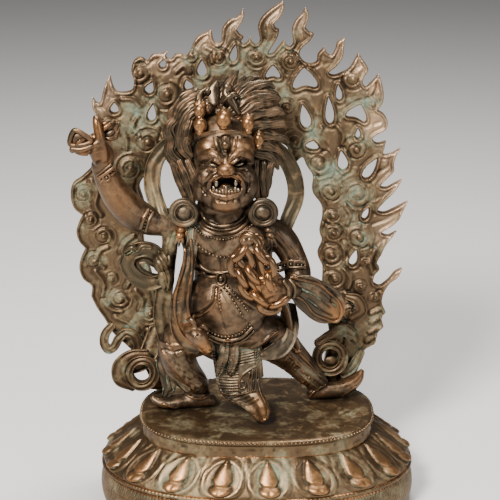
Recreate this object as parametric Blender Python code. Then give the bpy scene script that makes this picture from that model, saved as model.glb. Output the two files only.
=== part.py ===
"""Small bronze statue of a wrathful guardian: a figure on a lotus base, with a flame aureole behind it.

Three castings: the lotus base, the figure that stands on it, and the pierced aureole of flames.
The figure's pose and the aureole's outline are written on their own design grids, in
thousandths of a metre at the nominal height, and scale with FIGURE_HEIGHT and AUREOLE_HEIGHT.
"""

import math

import bmesh
import bpy
import numpy as np
from mathutils import Matrix, Vector, geometry

MM = 0.001

# Base
LOTUS_WIDTH = 93 * MM
LOTUS_DEPTH = 63 * MM
PLINTH_WIDTH = 67 * MM
PLINTH_DEPTH = 46 * MM
FOOT_HEIGHT = 1.4 * MM
BAND_HEIGHT = 10.6 * MM
CORD_HEIGHT = 2.0 * MM
PETAL_RISE = 9.2 * MM
PLINTH_WALL = 4.8 * MM
BAND_BULGE = 1.2 * MM
RIM_OVERHANG = 0.8 * MM
PETAL_COUNT = 20
PETAL_SWELL = 1.7 * MM
PLAN_POWER = 2.25

# Figure
FIGURE_HEIGHT = 104 * MM
FIGURE_SETBACK = 3.5 * MM
FIGURE_GRID_HEIGHT = 104
VOXEL = 0.55
KEPT_FACES = 0.034

# Aureole
AUREOLE_HEIGHT = 118.8 * MM
AUREOLE_GRID_HEIGHT = 118.8
PLATE_THICKNESS = 2.2 * MM
BOSS_RELIEF = 1.3 * MM
SIDE_LEAN = 2.2 * MM
REAR_OF_FIGURE = 9.0
CLEARANCE = 0.3 * MM

BASE_HEIGHT = FOOT_HEIGHT + BAND_HEIGHT + CORD_HEIGHT + PETAL_RISE + PLINTH_WALL
FIGURE_UNIT = FIGURE_HEIGHT / FIGURE_GRID_HEIGHT
AUREOLE_UNIT = AUREOLE_HEIGHT / AUREOLE_GRID_HEIGHT
FIGURE_REAR = FIGURE_SETBACK + REAR_OF_FIGURE * FIGURE_UNIT
AUREOLE_FRONT = FIGURE_REAR + CLEARANCE + BOSS_RELIEF + SIDE_LEAN


def bronze(name, colour, roughness):
    """A patinated bronze."""
    material = bpy.data.materials.new(name)
    material.use_nodes = True
    shader = material.node_tree.nodes["Principled BSDF"]
    shader.inputs["Base Color"].default_value = (*colour, 1)
    shader.inputs["Metallic"].default_value = 0.9
    shader.inputs["Roughness"].default_value = roughness
    return material


def curve_through(rows, steps, closed=False):
    """Rows of any width, smoothed by a Catmull-Rom curve through each of them."""
    rows = np.array(rows, float)
    count = len(rows)
    spans = count if closed else count - 1
    found = []
    for i in range(spans):
        before = rows[(i - 1) % count] if closed or i > 0 else 2 * rows[0] - rows[1]
        start, end = rows[i], rows[(i + 1) % count]
        after = rows[(i + 2) % count] if closed or i + 2 < count else 2 * rows[-1] - rows[-2]
        for step in range(steps):
            t = step / steps
            found.append(
                0.5 * (2 * start + (end - before) * t
                       + (2 * before - 5 * start + 4 * end - after) * t * t
                       + (3 * start - before - 3 * end + after) * t ** 3)
            )
    if not closed:
        found.append(rows[-1])
    return np.array(found)


def skin_rings(bm, rings, closed=False):
    """Side faces between rings of points that all have the same count, and end caps."""
    loops = [[bm.verts.new(p) for p in ring] for ring in rings]
    pairs = list(zip(loops, loops[1:] + loops[:1] if closed else loops[1:]))
    for low, high in pairs:
        for i in range(len(low)):
            j = (i + 1) % len(low)
            bm.faces.new((low[i], low[j], high[j], high[i]))
    if not closed:
        bm.faces.new(reversed(loops[0]))
        bm.faces.new(loops[-1])


def sweep(bm, rows, sides=10, steps=3, facing=(0, -1, 0), closed=False):
    """A limb, lock or ribbon: rows of x, y, z, half width and half thickness.

    The thickness lies along `facing`, as near as the path allows.
    """
    rows = curve_through(rows, steps, closed)
    places = rows[:, :3]
    if closed:
        along = np.roll(places, -1, 0) - np.roll(places, 1, 0)
    else:
        along = np.gradient(places, axis=0)
    normal = Vector(facing)
    rings = []
    for place, direction, (wide, thick) in zip(places, along, rows[:, 3:5]):
        tangent = Vector(direction).normalized()
        wanted = Vector(facing) - tangent * tangent.dot(Vector(facing))
        kept = normal - tangent * tangent.dot(normal)
        normal = (wanted * 0.5 + kept).normalized()
        side = tangent.cross(normal)
        rings.append([
            Vector(place) + side * wide * math.cos(a) + normal * thick * math.sin(a)
            for a in (2 * math.pi * k / sides for k in range(sides))
        ])
    skin_rings(bm, rings, closed)


def round_tube(bm, rows, **options):
    """A sweep with a round section: rows of x, y, z and radius."""
    sweep(bm, [(*row, row[3]) for row in rows], **options)


def blob(bm, centre, radii, segments=14, rings=9, turn=0.0):
    """An ellipsoid, turned about the y axis by `turn` degrees."""
    place = Matrix.Translation(centre) @ Matrix.Rotation(math.radians(turn), 4, "Y") @ Matrix.Diagonal((*radii, 1))
    bmesh.ops.create_uvsphere(bm, u_segments=segments, v_segments=rings, radius=1, matrix=place)


def finish_object(name, bm, material):
    """The mesh as an object of the scene, with its faces turned outwards."""
    bmesh.ops.recalc_face_normals(bm, faces=bm.faces)
    mesh = bpy.data.meshes.new(name)
    bm.to_mesh(mesh)
    bm.free()
    mesh.materials.append(material)
    item = bpy.data.objects.new(name, mesh)
    bpy.context.scene.collection.objects.link(item)
    return item


# Lotus base


def plan_ring(half_width, half_depth, height, count, swell=None):
    """A level ring on the base's oval plan, pushed outwards by swell(k)."""
    ring = []
    for k in range(count):
        angle = 2 * math.pi * k / count
        c, s = math.cos(angle), math.sin(angle)
        reach = (abs(c) ** PLAN_POWER + abs(s) ** PLAN_POWER) ** (-1 / PLAN_POWER)
        out = swell(k) if swell else 0
        ring.append(Vector((c * (half_width * reach + out), s * (half_depth * reach + out), height)))
    return ring


def build_base(material):
    """Foot, rounded band, cord, ring of domed petals and oval plinth, as one casting."""
    per_petal = 4
    count = PETAL_COUNT * per_petal
    a, b = LOTUS_WIDTH / 2 - BAND_BULGE, LOTUS_DEPTH / 2 - BAND_BULGE
    pa, pb = PLINTH_WIDTH / 2, PLINTH_DEPTH / 2
    rings = []

    def level(inset, height):
        rings.append(plan_ring(a - inset, b - inset, height, count))

    def plinth_level(inset, height):
        rings.append(plan_ring(pa - inset, pb - inset, height, count))

    level(1.6 * BAND_BULGE, 0)
    level(1.2 * BAND_BULGE, FOOT_HEIGHT)
    for share, bulge in ((0.12, 0.3), (0.55, 1.0), (1.0, 0.35)):
        level(-bulge * BAND_BULGE, FOOT_HEIGHT + share * BAND_HEIGHT)
    cord_low = FOOT_HEIGHT + BAND_HEIGHT
    level(-0.9 * BAND_BULGE, cord_low + 0.4 * CORD_HEIGHT)
    level(0.2 * BAND_BULGE, cord_low + CORD_HEIGHT)

    petal_low = cord_low + CORD_HEIGHT
    for share, amount in ((0.15, 0.8), (0.5, 1.0), (1.0, 0.0)):
        across = share ** 1.25
        wide = a + (pa - a) * across
        deep = b + (pb - b) * across
        rise = petal_low + PETAL_RISE * share
        height_of = {0: 0.0, 1: 0.75, 2: 1.0, 3: 0.75}
        rings.append(plan_ring(
            wide, deep, rise, count,
            swell=lambda k, amount=amount: PETAL_SWELL * amount * height_of[(k + 1) % per_petal],
        ))
    plinth_low = petal_low + PETAL_RISE
    plinth_level(0, plinth_low + 0.65 * PLINTH_WALL)
    plinth_level(-RIM_OVERHANG, plinth_low + 0.85 * PLINTH_WALL)
    plinth_level(0.2 * RIM_OVERHANG, BASE_HEIGHT)
    bm = bmesh.new()
    skin_rings(bm, rings)
    return finish_object("lotus_base", bm, material)


# Aureole of flames, on its design grid: x to the viewer's right, z above the plinth

BAND_OUTSIDE = (
    (-30, 9), (-39, 19), (-45, 27), (-47, 34), (-48.6, 41), (-49, 49), (-50.5, 57), (-49.5, 65),
    (-47.5, 74), (-47, 84), (-42.5, 90), (-37, 92), (-34.5, 98), (-27.5, 99.5), (-19, 103.5),
    (-12, 106), (-5, 106.5), (1.5, 103.5), (8, 101), (13.5, 99.5), (19.5, 97), (25, 96),
    (30, 92), (34, 86.5), (34.8, 79.5), (34, 74), (35.6, 66), (34.8, 57.5), (35.6, 49.5),
    (35.2, 41.5), (34, 35), (36, 29), (36.3, 21.5), (32, 15), (28, 8), (26.5, 2),
)
BAND_INSIDE = (
    (20, 2), (17.5, 8), (18.5, 16), (21, 22), (19, 32), (18, 40), (18, 47), (17.5, 54.5),
    (16, 60.5), (14.5, 66.5), (13.5, 71.5), (10, 71), (6, 73), (-2, 78), (-10, 79.5), (-18, 78),
    (-25.5, 75), (-30, 71), (-30.8, 67), (-34, 63), (-32.5, 59), (-33, 50), (-33.5, 42.5),
    (-30.5, 35), (-28.3, 27.5), (-27.8, 17), (-26, 9),
)

# Flames: foot x, z; tip x, z; half width; bend; where along it a barb leaves, 0 for none
FLAMES = (
    (-45.7, 83.7, -46.9, 91.0, 1.9, 0.5, 0.0),
    (-41.5, 88.5, -41.7, 97.0, 2.2, -0.7, 0.0),
    (-29.5, 96.0, -25.6, 103.8, 2.4, 0.7, 0.0),
    (-15.5, 100.0, -13.2, 110.4, 3.0, -1.2, 0.0),
    (-9.5, 103.0, -3.9, 116.4, 2.7, 1.2, 0.42),
    (0.2, 99.5, 7.4, 118.8, 3.0, 1.4, 0.52),
    (9.2, 98.5, 14.1, 116.8, 2.8, 1.5, 0.50),
    (20.6, 94.0, 25.3, 107.8, 2.8, -1.1, -0.45),
    (27.0, 92.0, 28.6, 103.2, 2.5, 1.2, 0.45),
    (32.3, 86.0, 35.2, 97.0, 2.5, -0.6, 0.0),
    (33.0, 80.0, 37.8, 83.4, 1.9, 0.8, 0.0),
    (32.8, 73.6, 37.2, 77.0, 1.2, 0.4, 0.0),
    (35.0, 64.5, 41.1, 74.8, 2.1, 1.0, 0.0),
    (34.0, 57.6, 41.5, 65.2, 1.6, 0.5, 0.0),
    (34.2, 48.0, 43.3, 59.0, 2.1, 1.0, 0.0),
    (33.4, 43.0, 39.8, 49.9, 1.3, 0.4, 0.0),
    (33.2, 31.6, 41.6, 38.8, 1.2, 0.6, 0.0),
)

# Rounded lobes of the outline: x, z, radius
LOBES = (
    (-50.0, 60.0, 3.4), (-48.8, 51.6, 2.8), (-48.4, 40.5, 3.0), (-44.8, 31.0, 2.4), (-33.6, 98.0, 3.6),
)

# Spiral bosses: x, z, radius
SPIRALS = (
    (-33.4, 97.3, 2.4), (-18.6, 102.3, 1.5), (-11.0, 101.8, 2.2), (-25.8, 91.0, 3.0),
    (-0.2, 101.5, 2.3), (9.8, 100.6, 2.3), (-31.0, 76.2, 2.9), (-36.3, 68.5, 2.7),
    (8.5, 86.6, 2.0), (10.5, 76.5, 2.0), (27.2, 95.1, 2.2), (17.1, 69.3, 2.7), (28.2, 74.4, 3.0),
    (20.7, 61.6, 2.8), (28.7, 60.9, 3.2), (21.0, 54.0, 2.3), (21.6, 49.3, 2.5), (28.9, 47.5, 3.0),
    (20.8, 42.3, 2.4), (22.2, 35.5, 3.0), (29.4, 33.5, 1.6), (33.0, 29.5, 1.3),
    (-44.6, 48.5, 2.4), (-46.6, 41.1, 2.0), (-39.4, 30.1, 2.4), (-30.4, 25.4, 2.2),
    (-48.0, 53.4, 1.6), (-30.0, 16.4, 1.6), (25.8, 27.0, 2.4),
)

# Drop-shaped holes: x, z, half width, half height, lean in degrees (positive leans right)
DROPS = (
    (-15.8, 98.8, 1.6, 2.8, 0), (-26.8, 98.6, 1.1, 1.3, 20), (-30.7, 92.6, 1.3, 1.9, 25),
    (-30.0, 85.4, 1.2, 2.5, 8), (-40.5, 87.0, 1.3, 1.5, 0), (-18.9, 93.8, 1.5, 1.7, -20),
    (-6.6, 102.6, 1.2, 2.5, 10), (13.7, 84.2, 1.9, 3.1, -12), (23.3, 90.7, 1.1, 2.3, -5),
    (20.6, 86.2, 1.5, 3.1, -5), (28.9, 79.4, 0.9, 1.6, 0), (15.4, 75.0, 1.9, 1.3, 15),
    (24.7, 70.6, 1.6, 2.7, -8), (32.8, 68.8, 1.5, 3.3, 32), (31.1, 54.6, 1.0, 1.8, 25),
    (27.6, 42.3, 1.3, 2.1, 15),
)

# Heart-shaped holes: x, z, half width, half height, lean in degrees
HEARTS = ((5.3, 97.4, 2.0, 2.1, 0), (13.6, 95.2, 3.1, 3.4, -6), (29.2, 84.8, 2.9, 2.3, 22))

HOLE_POINTS = 10


def flame_outline(foot_x, foot_z, tip_x, tip_z, half_width, bend, barb=0.0):
    """One tongue of flame: an S-curved, tapering leaf, and its barb if it has one."""
    foot, tip = Vector((foot_x, foot_z)), Vector((tip_x, tip_z))
    along = tip - foot
    side = Vector((along.y, -along.x)).normalized()

    def spine(t):
        return foot + along * t + side * bend * math.sin(2 * math.pi * t) * (0.4 + 0.6 * t)

    shares = (0.0, 0.25, 0.5, 0.75)
    widths = [half_width * (1 - t) ** 0.62 * (1 + 0.25 * math.sin(math.pi * t)) for t in shares]
    right = [spine(t) + side * w for t, w in zip(shares, widths)]
    left = [spine(t) - side * w for t, w in zip(shares, widths)]
    outlines = [[*right, tip, *reversed(left)]]
    if barb:
        turn = 1 if barb > 0 else -1
        root = spine(abs(barb))
        reach = half_width * 1.5
        heading = (along.normalized() * 0.75 + side * turn * 0.66).normalized()
        across = Vector((heading.y, -heading.x))
        outlines.append([
            root - heading * 0.5 * reach, root + across * 0.42 * reach, root + heading * 0.62 * reach + across * 0.25 * reach,
            root + heading * reach * 1.15, root + heading * 0.5 * reach - across * 0.3 * reach, root - across * 0.42 * reach,
        ])
    return outlines


def turned(points, x, z, lean):
    """Points about the origin, leaned to the right and moved to x, z."""
    c, s = math.cos(math.radians(lean)), math.sin(math.radians(lean))
    return [Vector((x + px * c + pz * s, z - px * s + pz * c)) for px, pz in points]


def drop_outline(x, z, half_width, half_height, lean):
    """A drop with its point up."""
    points = []
    for k in range(HOLE_POINTS):
        a = 2 * math.pi * k / HOLE_POINTS
        narrow = 1 - 0.5 * (1 + math.cos(a)) ** 2 / 4
        points.append((half_width * math.sin(a) * narrow, half_height * math.cos(a)))
    return turned(points, x, z, lean)


def heart_outline(x, z, half_width, half_height, lean):
    """A heart standing on its two lobes, with its point up."""
    points = []
    for k in range(HOLE_POINTS):
        a = 2 * math.pi * k / HOLE_POINTS
        wide = half_width * math.sin(a) * (1 - 0.45 * math.cos(a))
        dent = 0.5 * half_height * max(0.0, -math.cos(a)) ** 6
        points.append((wide, half_height * math.cos(a) + dent))
    return turned(points, x, z, lean)


def ring_outline(x, z, radius, count=10):
    """A circle."""
    return [
        Vector((x + radius * math.cos(a), z + radius * math.sin(a)))
        for a in (2 * math.pi * k / count for k in range(count))
    ]


def inside(outline, x, z):
    """Whether the point lies in the closed outline."""
    hit = False
    previous = outline[-1]
    for point in outline:
        if (point.y > z) != (previous.y > z):
            if x < (previous.x - point.x) * (z - point.y) / (previous.y - point.y) + point.x:
                hit = not hit
        previous = point
    return hit


def plate_triangles(solids, holes, extra):
    """The union of the solid outlines less the holes, as points and triangles."""
    points, edges = list(extra), []
    for outline in [*solids, *holes]:
        first = len(points)
        points += outline
        edges += [(first + i, first + (i + 1) % len(outline)) for i in range(len(outline))]
    found = geometry.delaunay_2d_cdt(points, edges, [], 0, 1e-5)
    places, _, faces = found[0], found[1], found[2]
    kept = []
    for face in faces:
        x = sum(places[i].x for i in face) / 3
        z = sum(places[i].y for i in face) / 3
        if any(inside(o, x, z) for o in solids) and not any(inside(o, x, z) for o in holes):
            kept.append(face)
    return places, kept


def plate_front(x, z, bosses):
    """How far forward the plate's front stands at x, z, on the design grid."""
    lean = SIDE_LEAN / AUREOLE_UNIT * (x / 50) ** 2
    rise = 0.0
    for bx, bz, radius in bosses:
        near = math.hypot(x - bx, z - bz) / radius
        if near < 1:
            rise = max(rise, 1 - near * near)
    return lean + rise * BOSS_RELIEF / AUREOLE_UNIT


def build_plate():
    """The pierced plate with its flames and bosses, on the design grid, facing -y."""
    solids = [[Vector(p) for p in BAND_OUTSIDE + BAND_INSIDE]]
    for flame in FLAMES:
        solids += flame_outline(*flame)
    solids += [ring_outline(*lobe) for lobe in LOBES]
    holes = [drop_outline(*drop) for drop in DROPS] + [heart_outline(*heart) for heart in HEARTS]
    extra = []
    for x, z, radius in SPIRALS:
        extra += [Vector((x, z)), *ring_outline(x, z, radius, 6)]
    places, faces = plate_triangles(solids, holes, extra)
    sides = {(i, j) for face in faces for i, j in zip(face, face[1:] + face[:1])}
    border = sorted((i, j) for i, j in sides if (j, i) not in sides)
    rim = sorted({i for edge in border for i in edge})
    order = {i: k for k, i in enumerate(rim)}
    rim_places = [places[i] for i in rim]
    rim_edges = [(order[i], order[j]) for i, j in border]
    rear = geometry.delaunay_2d_cdt(rim_places, rim_edges, [], 0, 1e-5)[2]

    bm = bmesh.new()
    depth = PLATE_THICKNESS / AUREOLE_UNIT
    front = {}
    for i in sorted({i for face in faces for i in face}):
        x, z = places[i]
        front[i] = bm.verts.new((x, -plate_front(x, z, SPIRALS), z))
    back = [bm.verts.new((x, depth - plate_front(x, z, ()), z)) for x, z in rim_places]
    for face in faces:
        bm.faces.new([front[i] for i in face])
    for face in rear:
        x = sum(rim_places[i].x for i in face) / 3
        z = sum(rim_places[i].y for i in face) / 3
        if any(inside(o, x, z) for o in solids) and not any(inside(o, x, z) for o in holes):
            bm.faces.new([back[i] for i in reversed(face)])
    for (i, j), (k, m) in zip(border, rim_edges):
        bm.faces.new((front[j], front[i], back[k], back[m]))
    return bm


def scroll_feet(bm_list):
    """The rolled scrolls and straps that carry the plate down to the plinth."""
    left, right = bmesh.new(), bmesh.new()
    ring = [(math.cos(a), math.sin(a)) for a in (2 * math.pi * k / 8 for k in range(8))]
    sweep(left, [(-32.3 + 4.4 * c, -7.5 + 0.8 * s, 7.6 + 4.4 * s, 2.3, 1.5) for c, s in ring], sides=6, steps=1,
          facing=(0, -0.2, 1), closed=True)
    sweep(right, [(21.3 + 3.9 * c, -3.8 + 0.4 * s, 13.2 + 3.9 * s, 2.0, 1.6) for c, s in ring], sides=6, steps=1,
          facing=(0, -0.2, 1), closed=True)
    bm_list += [left, right]
    for rows in (
        ((-30.0, 1.0, 17.0, 2.6, 1.1), (-31.5, -2.0, 14.5, 2.4, 1.1), (-32.0, -5.5, 12.2, 2.0, 1.2)),
        ((-27.5, 1.0, 9.0, 2.6, 1.3), (-26.5, -1.0, 5.5, 2.5, 1.6), (-25.0, -3.0, 2.4, 2.6, 1.6)),
        ((-29.0, -6.5, 5.4, 2.0, 1.5), (-26.5, -4.5, 3.6, 2.2, 1.4), (-24.0, -2.5, 2.8, 2.2, 1.5)),
        ((24.0, 1.0, 17.5, 2.6, 1.2), (23.5, -1.2, 17.3, 2.4, 1.2), (22.5, -3.6, 16.6, 2.0, 1.2)),
        ((23.5, 1.0, 5.0, 3.4, 1.4), (23.2, 0.0, 3.4, 3.2, 1.6), (22.8, -0.5, 2.4, 3.2, 1.6)),
    ):
        strap = bmesh.new()
        sweep(strap, rows, sides=6, steps=1, facing=(0, -1, 0.3))
        bm_list.append(strap)
    for rows in (
        ((-33.5, 1.0, 20.5, 1.6, 1.2), (-35.5, -0.5, 19.5, 1.5, 1.2), (-39.5, -1.0, 19.0, 1.5, 1.2),
         (-41.5, -1.0, 16.5, 1.4, 1.2), (-39.5, -1.0, 14.2, 1.3, 1.1)),
        ((26.5, 0.5, 9.0, 1.8, 1.3), (28.0, -1.5, 7.5, 1.7, 1.3), (30.0, -2.5, 9.5, 1.5, 1.2),
         (31.0, -2.5, 12.5, 1.2, 1.1)),
    ):
        curl = bmesh.new()
        sweep(curl, rows, sides=6, steps=1)
        bm_list.append(curl)
    return bm_list


def build_aureole(material):
    """The plate united with its scroll feet, set behind the figure on the plinth."""
    body = build_plate()
    place = Matrix.Translation((0, AUREOLE_FRONT, BASE_HEIGHT + CLEARANCE)) @ Matrix.Scale(AUREOLE_UNIT, 4)
    bmesh.ops.transform(body, matrix=place, verts=body.verts)
    aureole = finish_object("flame_aureole", body, material)
    for k, bm in enumerate(scroll_feet([])):
        bmesh.ops.transform(bm, matrix=place, verts=bm.verts)
        cutter = finish_object(f"scroll_{k}", bm, material)
        cutter.hide_render = True
        cutter.display_type = "WIRE"
        union = aureole.modifiers.new(f"union_{k}", "BOOLEAN")
        union.operation = "UNION"
        union.object = cutter
    return aureole


# Figure, on its design grid: x to the viewer's right, -y towards the viewer, z above the plinth


def torso(bm):
    """Chest, round belly, hips and neck."""
    blob(bm, (-6.5, -1, 49), (11.5, 7.5, 9.5))
    blob(bm, (-7.5, -3.2, 34), (12, 10.6, 11.5), 18, 12)
    blob(bm, (-7, 0, 24), (12.5, 8, 7.5))
    round_tube(bm, ((-7.5, -1.5, 52, 6), (-8.5, -3, 60, 5.2), (-9.3, -4, 67, 5)))


def head(bm):
    """Skull, heavy brows, nose, cheeks and chin under the crown."""
    blob(bm, (-9.4, -3.2, 77), (9.7, 9.2, 11.0), 18, 12)
    blob(bm, (-9.2, -6.5, 69.5), (8.2, 6.6, 5.6))
    for side in (-1, 1):
        x = -9.3
        blob(bm, (x + side * 4.2, -11.2, 81.5), (4.0, 2.4, 2.4), turn=side * -18)
        blob(bm, (x + side * 5.6, -9.6, 75.0), (2.8, 2.6, 2.4))
        blob(bm, (x + side * 9.8, -3.0, 73.5), (1.3, 2.2, 4.4))
        round_tube(bm, ((x + side * 1.0, -13.2, 75.4, 1.0), (x + side * 4.0, -12.6, 74.0, 1.2),
                        (x + side * 5.6, -11.0, 70.8, 0.9)), sides=8, steps=2)
    blob(bm, (-9.2, -13.2, 77.2), (2.2, 2.3, 2.0))
    blob(bm, (-9.2, -10.6, 66.4), (5.6, 2.6, 2.2))


def crown(bm):
    """Band over the brow, five skulls and the points above them."""
    sweep(bm, ((-20, -3, 80.5, 1.3, 0.9), (-16.3, -10, 85, 1.3, 0.9), (-9.1, -12.6, 87, 1.3, 0.9),
               (-2, -10, 85.2, 1.3, 0.9), (1.4, -3, 80.0, 1.3, 0.9)), sides=8)
    for x, y, z in ((-19.6, -5.5, 80), (-16.2, -9.6, 88.6), (-9.1, -11.4, 90.3), (-2.7, -9.6, 88.6), (1.0, -5.5, 79)):
        blob(bm, (x, y, z), (1.8, 1.7, 2.5), 10, 7)
        round_tube(bm, ((x, y, z + 1, 1.4), (x, y + 0.8, z + 3.5, 0.9), (x, y + 1.2, z + 5.2, 0.3)), sides=7, steps=2)


def hair(bm):
    """Windswept locks: down the left, fanned to the right and up to the top knot."""
    blob(bm, (-8.5, 0.5, 86), (9.5, 6.0, 7.0))
    for shift in (0.0, 2.6):
        round_tube(bm, ((-14, 0, 90 - shift, 2.4), (-20.5 + shift * 0.3, 0, 87.5, 2.4), (-23.5 + shift, 0, 81, 2.3),
                        (-22.6 + shift, 0, 75, 2.4), (-23.4 + shift, 0, 69, 2.0), (-20 + shift, -1, 64.5, 1.2)), sides=9)
    for tip_x, tip_z, bow in (
        (8.0, 97.4, 1.2), (8.6, 92.6, 1.0), (8.8, 87.2, 0.8), (9.2, 82.2, 0.4), (8.0, 77.0, -0.4), (6.4, 71.6, -1.0),
    ):
        mid_x, mid_z = (-5 + tip_x) / 2 + 1, (85 + tip_z) / 2 - bow
        round_tube(bm, ((-6, 0, 85, 3.0), (mid_x, 1.0, mid_z, 2.5), (tip_x - 3, 1.6, tip_z - 1.4, 2.0), (tip_x, 2, tip_z, 0.6)),
                   sides=9)
    round_tube(bm, ((-12, 0, 90, 3.4), (-8.5, 1, 95.5, 3.0), (-6.4, 2.4, 100, 1.8), (-5.2, 3, 104, 0.5)), sides=9)
    round_tube(bm, ((-9, 0, 91, 3.6), (-3.0, 1, 96.5, 3.0), (3.0, 2, 99.6, 1.8), (6.0, 2.4, 101.0, 0.6)), sides=9)
    round_tube(bm, ((-14, 0, 89, 2.4), (-15.5, 0, 94.5, 1.8), (-12.5, 1, 99, 0.8)), sides=8)


def raised_arm(bm):
    """The arm held out and up on the viewer's left, its hand with one finger raised, and the vajra."""
    round_tube(bm, ((-17, 0, 54, 5.2), (-22, -1, 56, 4.8), (-27, -2, 57, 4.1), (-33, -3.4, 58, 3.9), (-38.3, -5.4, 60.6, 4.2),
                    (-41.2, -7.4, 66.5, 4.1), (-43.1, -8.8, 73, 3.1), (-43.8, -9.1, 76, 3.0)), sides=12)
    round_tube(bm, ((-43.4, -9, 74.5, 3.0), (-45, -9.3, 79, 3.4), (-46, -9.6, 83, 2.8), (-45.6, -9.8, 85, 1.8)), sides=10)
    round_tube(bm, ((-44.6, -9.6, 81, 1.5), (-44.0, -10.4, 86.0, 1.3), (-44.9, -10.0, 90.6, 0.9)), sides=8)
    round_tube(bm, ((-32.2, -3.2, 57.8, 4.6), (-34.0, -3.8, 58.4, 4.6)), sides=12, steps=1)
    round_tube(bm, ((-42.9, -8.6, 72.4, 3.7), (-43.3, -8.9, 74.4, 3.7)), sides=12, steps=1)
    left, right = Vector((-53.4, -13.6, 80.6)), Vector((-39.6, -6.4, 86.6))
    stations = ((0, 0.5), (0.08, 0.9), (0.18, 2.6), (0.3, 2.7), (0.4, 1.2), (0.5, 1.5), (0.6, 1.2), (0.7, 2.7), (0.82, 2.6), (1.0, 0.6))
    round_tube(bm, [(*left.lerp(right, t), r) for t, r in stations], sides=10, steps=1)


def lowered_arm(bm):
    """The arm on the viewer's right, bent forward to hold the loop of chain at the chest."""
    round_tube(bm, ((2, 0, 53.5, 5.2), (7, 0, 51, 4.8), (10.4, -0.5, 46, 4.3), (12.2, -2.8, 41, 4.3), (10, -7.5, 39, 3.7),
                    (8, -11.5, 39.6, 3.0)), sides=12)
    blob(bm, (6.6, -14.2, 41), (3.3, 3.4, 3.2))
    round_tube(bm, ((9.6, -0.4, 47.6, 4.9), (10.6, -0.8, 45.8, 4.9)), sides=12, steps=1)
    round_tube(bm, ((9, -9.4, 39, 3.8), (8.4, -10.8, 39.3, 3.8)), sides=12, steps=1)
    for fold in range(4):
        blob(bm, (4.6 + fold * 1.0, -17.0 + fold * 0.3, 42.6 - fold * 1.3), (1.7, 1.4, 0.9), 8, 6)
    heading, across = Vector((0.5, 0, -0.866)), Vector((0.866, 0, 0.5))
    centre = Vector((1.0, -15.6, 46.4))
    loop = []
    for k in range(12):
        a = 2 * math.pi * k / 12
        loop.append((*(centre + heading * 9.2 * math.cos(a) + across * 3.3 * math.sin(a)), 1.5))
    round_tube(bm, loop, sides=8, steps=1, closed=True)
    blob(bm, (-0.3, -13.0, 49), (3.4, 3.2, 3.4))
    blob(bm, (2.2, -13.0, 44), (3.6, 3.2, 3.6))
    round_tube(bm, ((-2.6, -15.6, 53.0, 1.6), (-3.2, -15.8, 56.0, 1.5), (-2.8, -15.6, 59.2, 0.4)), sides=8, steps=2)
    round_tube(bm, ((7.6, -12.0, 38, 1.1), (10, -6.5, 31, 1.1), (11.6, -2.5, 23, 1.1), (11.2, 0.5, 16.5, 1.1)), sides=8)


def legs(bm):
    """The bent leg on the viewer's left, the stretched one on the right, and both feet."""
    round_tube(bm, ((-12, -1, 24, 7.5), (-18.5, -3.4, 23, 6.9), (-23.3, -4.4, 19, 5.7), (-21.8, -3.4, 12.5, 5.0),
                    (-18, -2, 6.5, 3.9), (-16.6, -1.6, 3, 2.8)), sides=12)
    sweep(bm, ((-13.6, -1.2, 1.9, 1.8, 1.8), (-16.5, -1.4, 2.2, 2.3, 2.1), (-22, -2.0, 1.9, 2.6, 1.8), (-27, -2.8, 1.6, 2.8, 1.5),
               (-30.4, -3.2, 1.3, 2.0, 1.2)), sides=10, facing=(0, 0, 1))
    round_tube(bm, ((0, 0, 22.5, 7.4), (5.6, 1, 18.6, 6.2), (10.4, 2, 13.8, 4.8), (14.6, 2.8, 9, 4.0), (18.2, 3.4, 5, 3.2)), sides=12)
    sweep(bm, ((16.6, 3.4, 2.2, 1.9, 1.9), (20.0, 4.0, 2.6, 2.4, 2.2), (24.0, 5.0, 3.6, 2.6, 1.9), (27.4, 6.0, 5.6, 2.6, 1.6),
               (29.8, 6.6, 8.4, 1.8, 1.2)), sides=10, facing=(0, 0, 1))


def drapery(bm):
    """Skin apron with its paw, hip swag, trouser cuffs and belt."""
    sweep(bm, ((-6.5, -7.5, 26, 8.2, 2.0), (-5.6, -8.4, 20, 7.0, 1.8), (-5.0, -8.2, 14, 6.6, 1.6), (-4.0, -8.2, 9.5, 6.4, 1.5),
               (-1.6, -10, 6.2, 4.4, 1.5), (0.6, -13, 3.6, 3.3, 1.5), (1.8, -16, 2.3, 2.9, 1.4), (2.2, -17.6, 1.9, 1.6, 1.0)), sides=12)
    sweep(bm, ((9.0, -1, 31, 1.8, 1.4), (9.0, -4.4, 25.5, 2.2, 1.5), (6.4, -7.4, 20.4, 2.4, 1.6), (1.0, -9.4, 18.6, 2.2, 1.6)), sides=9)
    blob(bm, (3.6, -4.0, 24), (5.6, 4.6, 5.6))
    sweep(bm, ((-15.5, -9.0, 27, 1.1, 1.1), (-12, -12.0, 23.6, 1.1, 1.1), (-7.1, -13.4, 22.4, 1.1, 1.1), (-1, -12.0, 23.6, 1.1, 1.1),
               (3.4, -8.6, 26, 1.1, 1.1)), sides=8)
    sweep(bm, ((-27, -5.5, 19, 1.6, 1.0), (-25, -7.0, 14.5, 1.8, 1.0), (-21.5, -6.6, 10.5, 1.8, 1.0), (-17, -5.6, 7.6, 1.6, 1.0)), sides=8)
    sweep(bm, ((9.0, -2.4, 16.4, 1.7, 1.0), (13, -1.6, 12, 1.9, 1.1), (17.0, -0.6, 8, 2.0, 1.1), (19.6, 0.8, 5.6, 2.0, 1.1)), sides=8)


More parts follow.
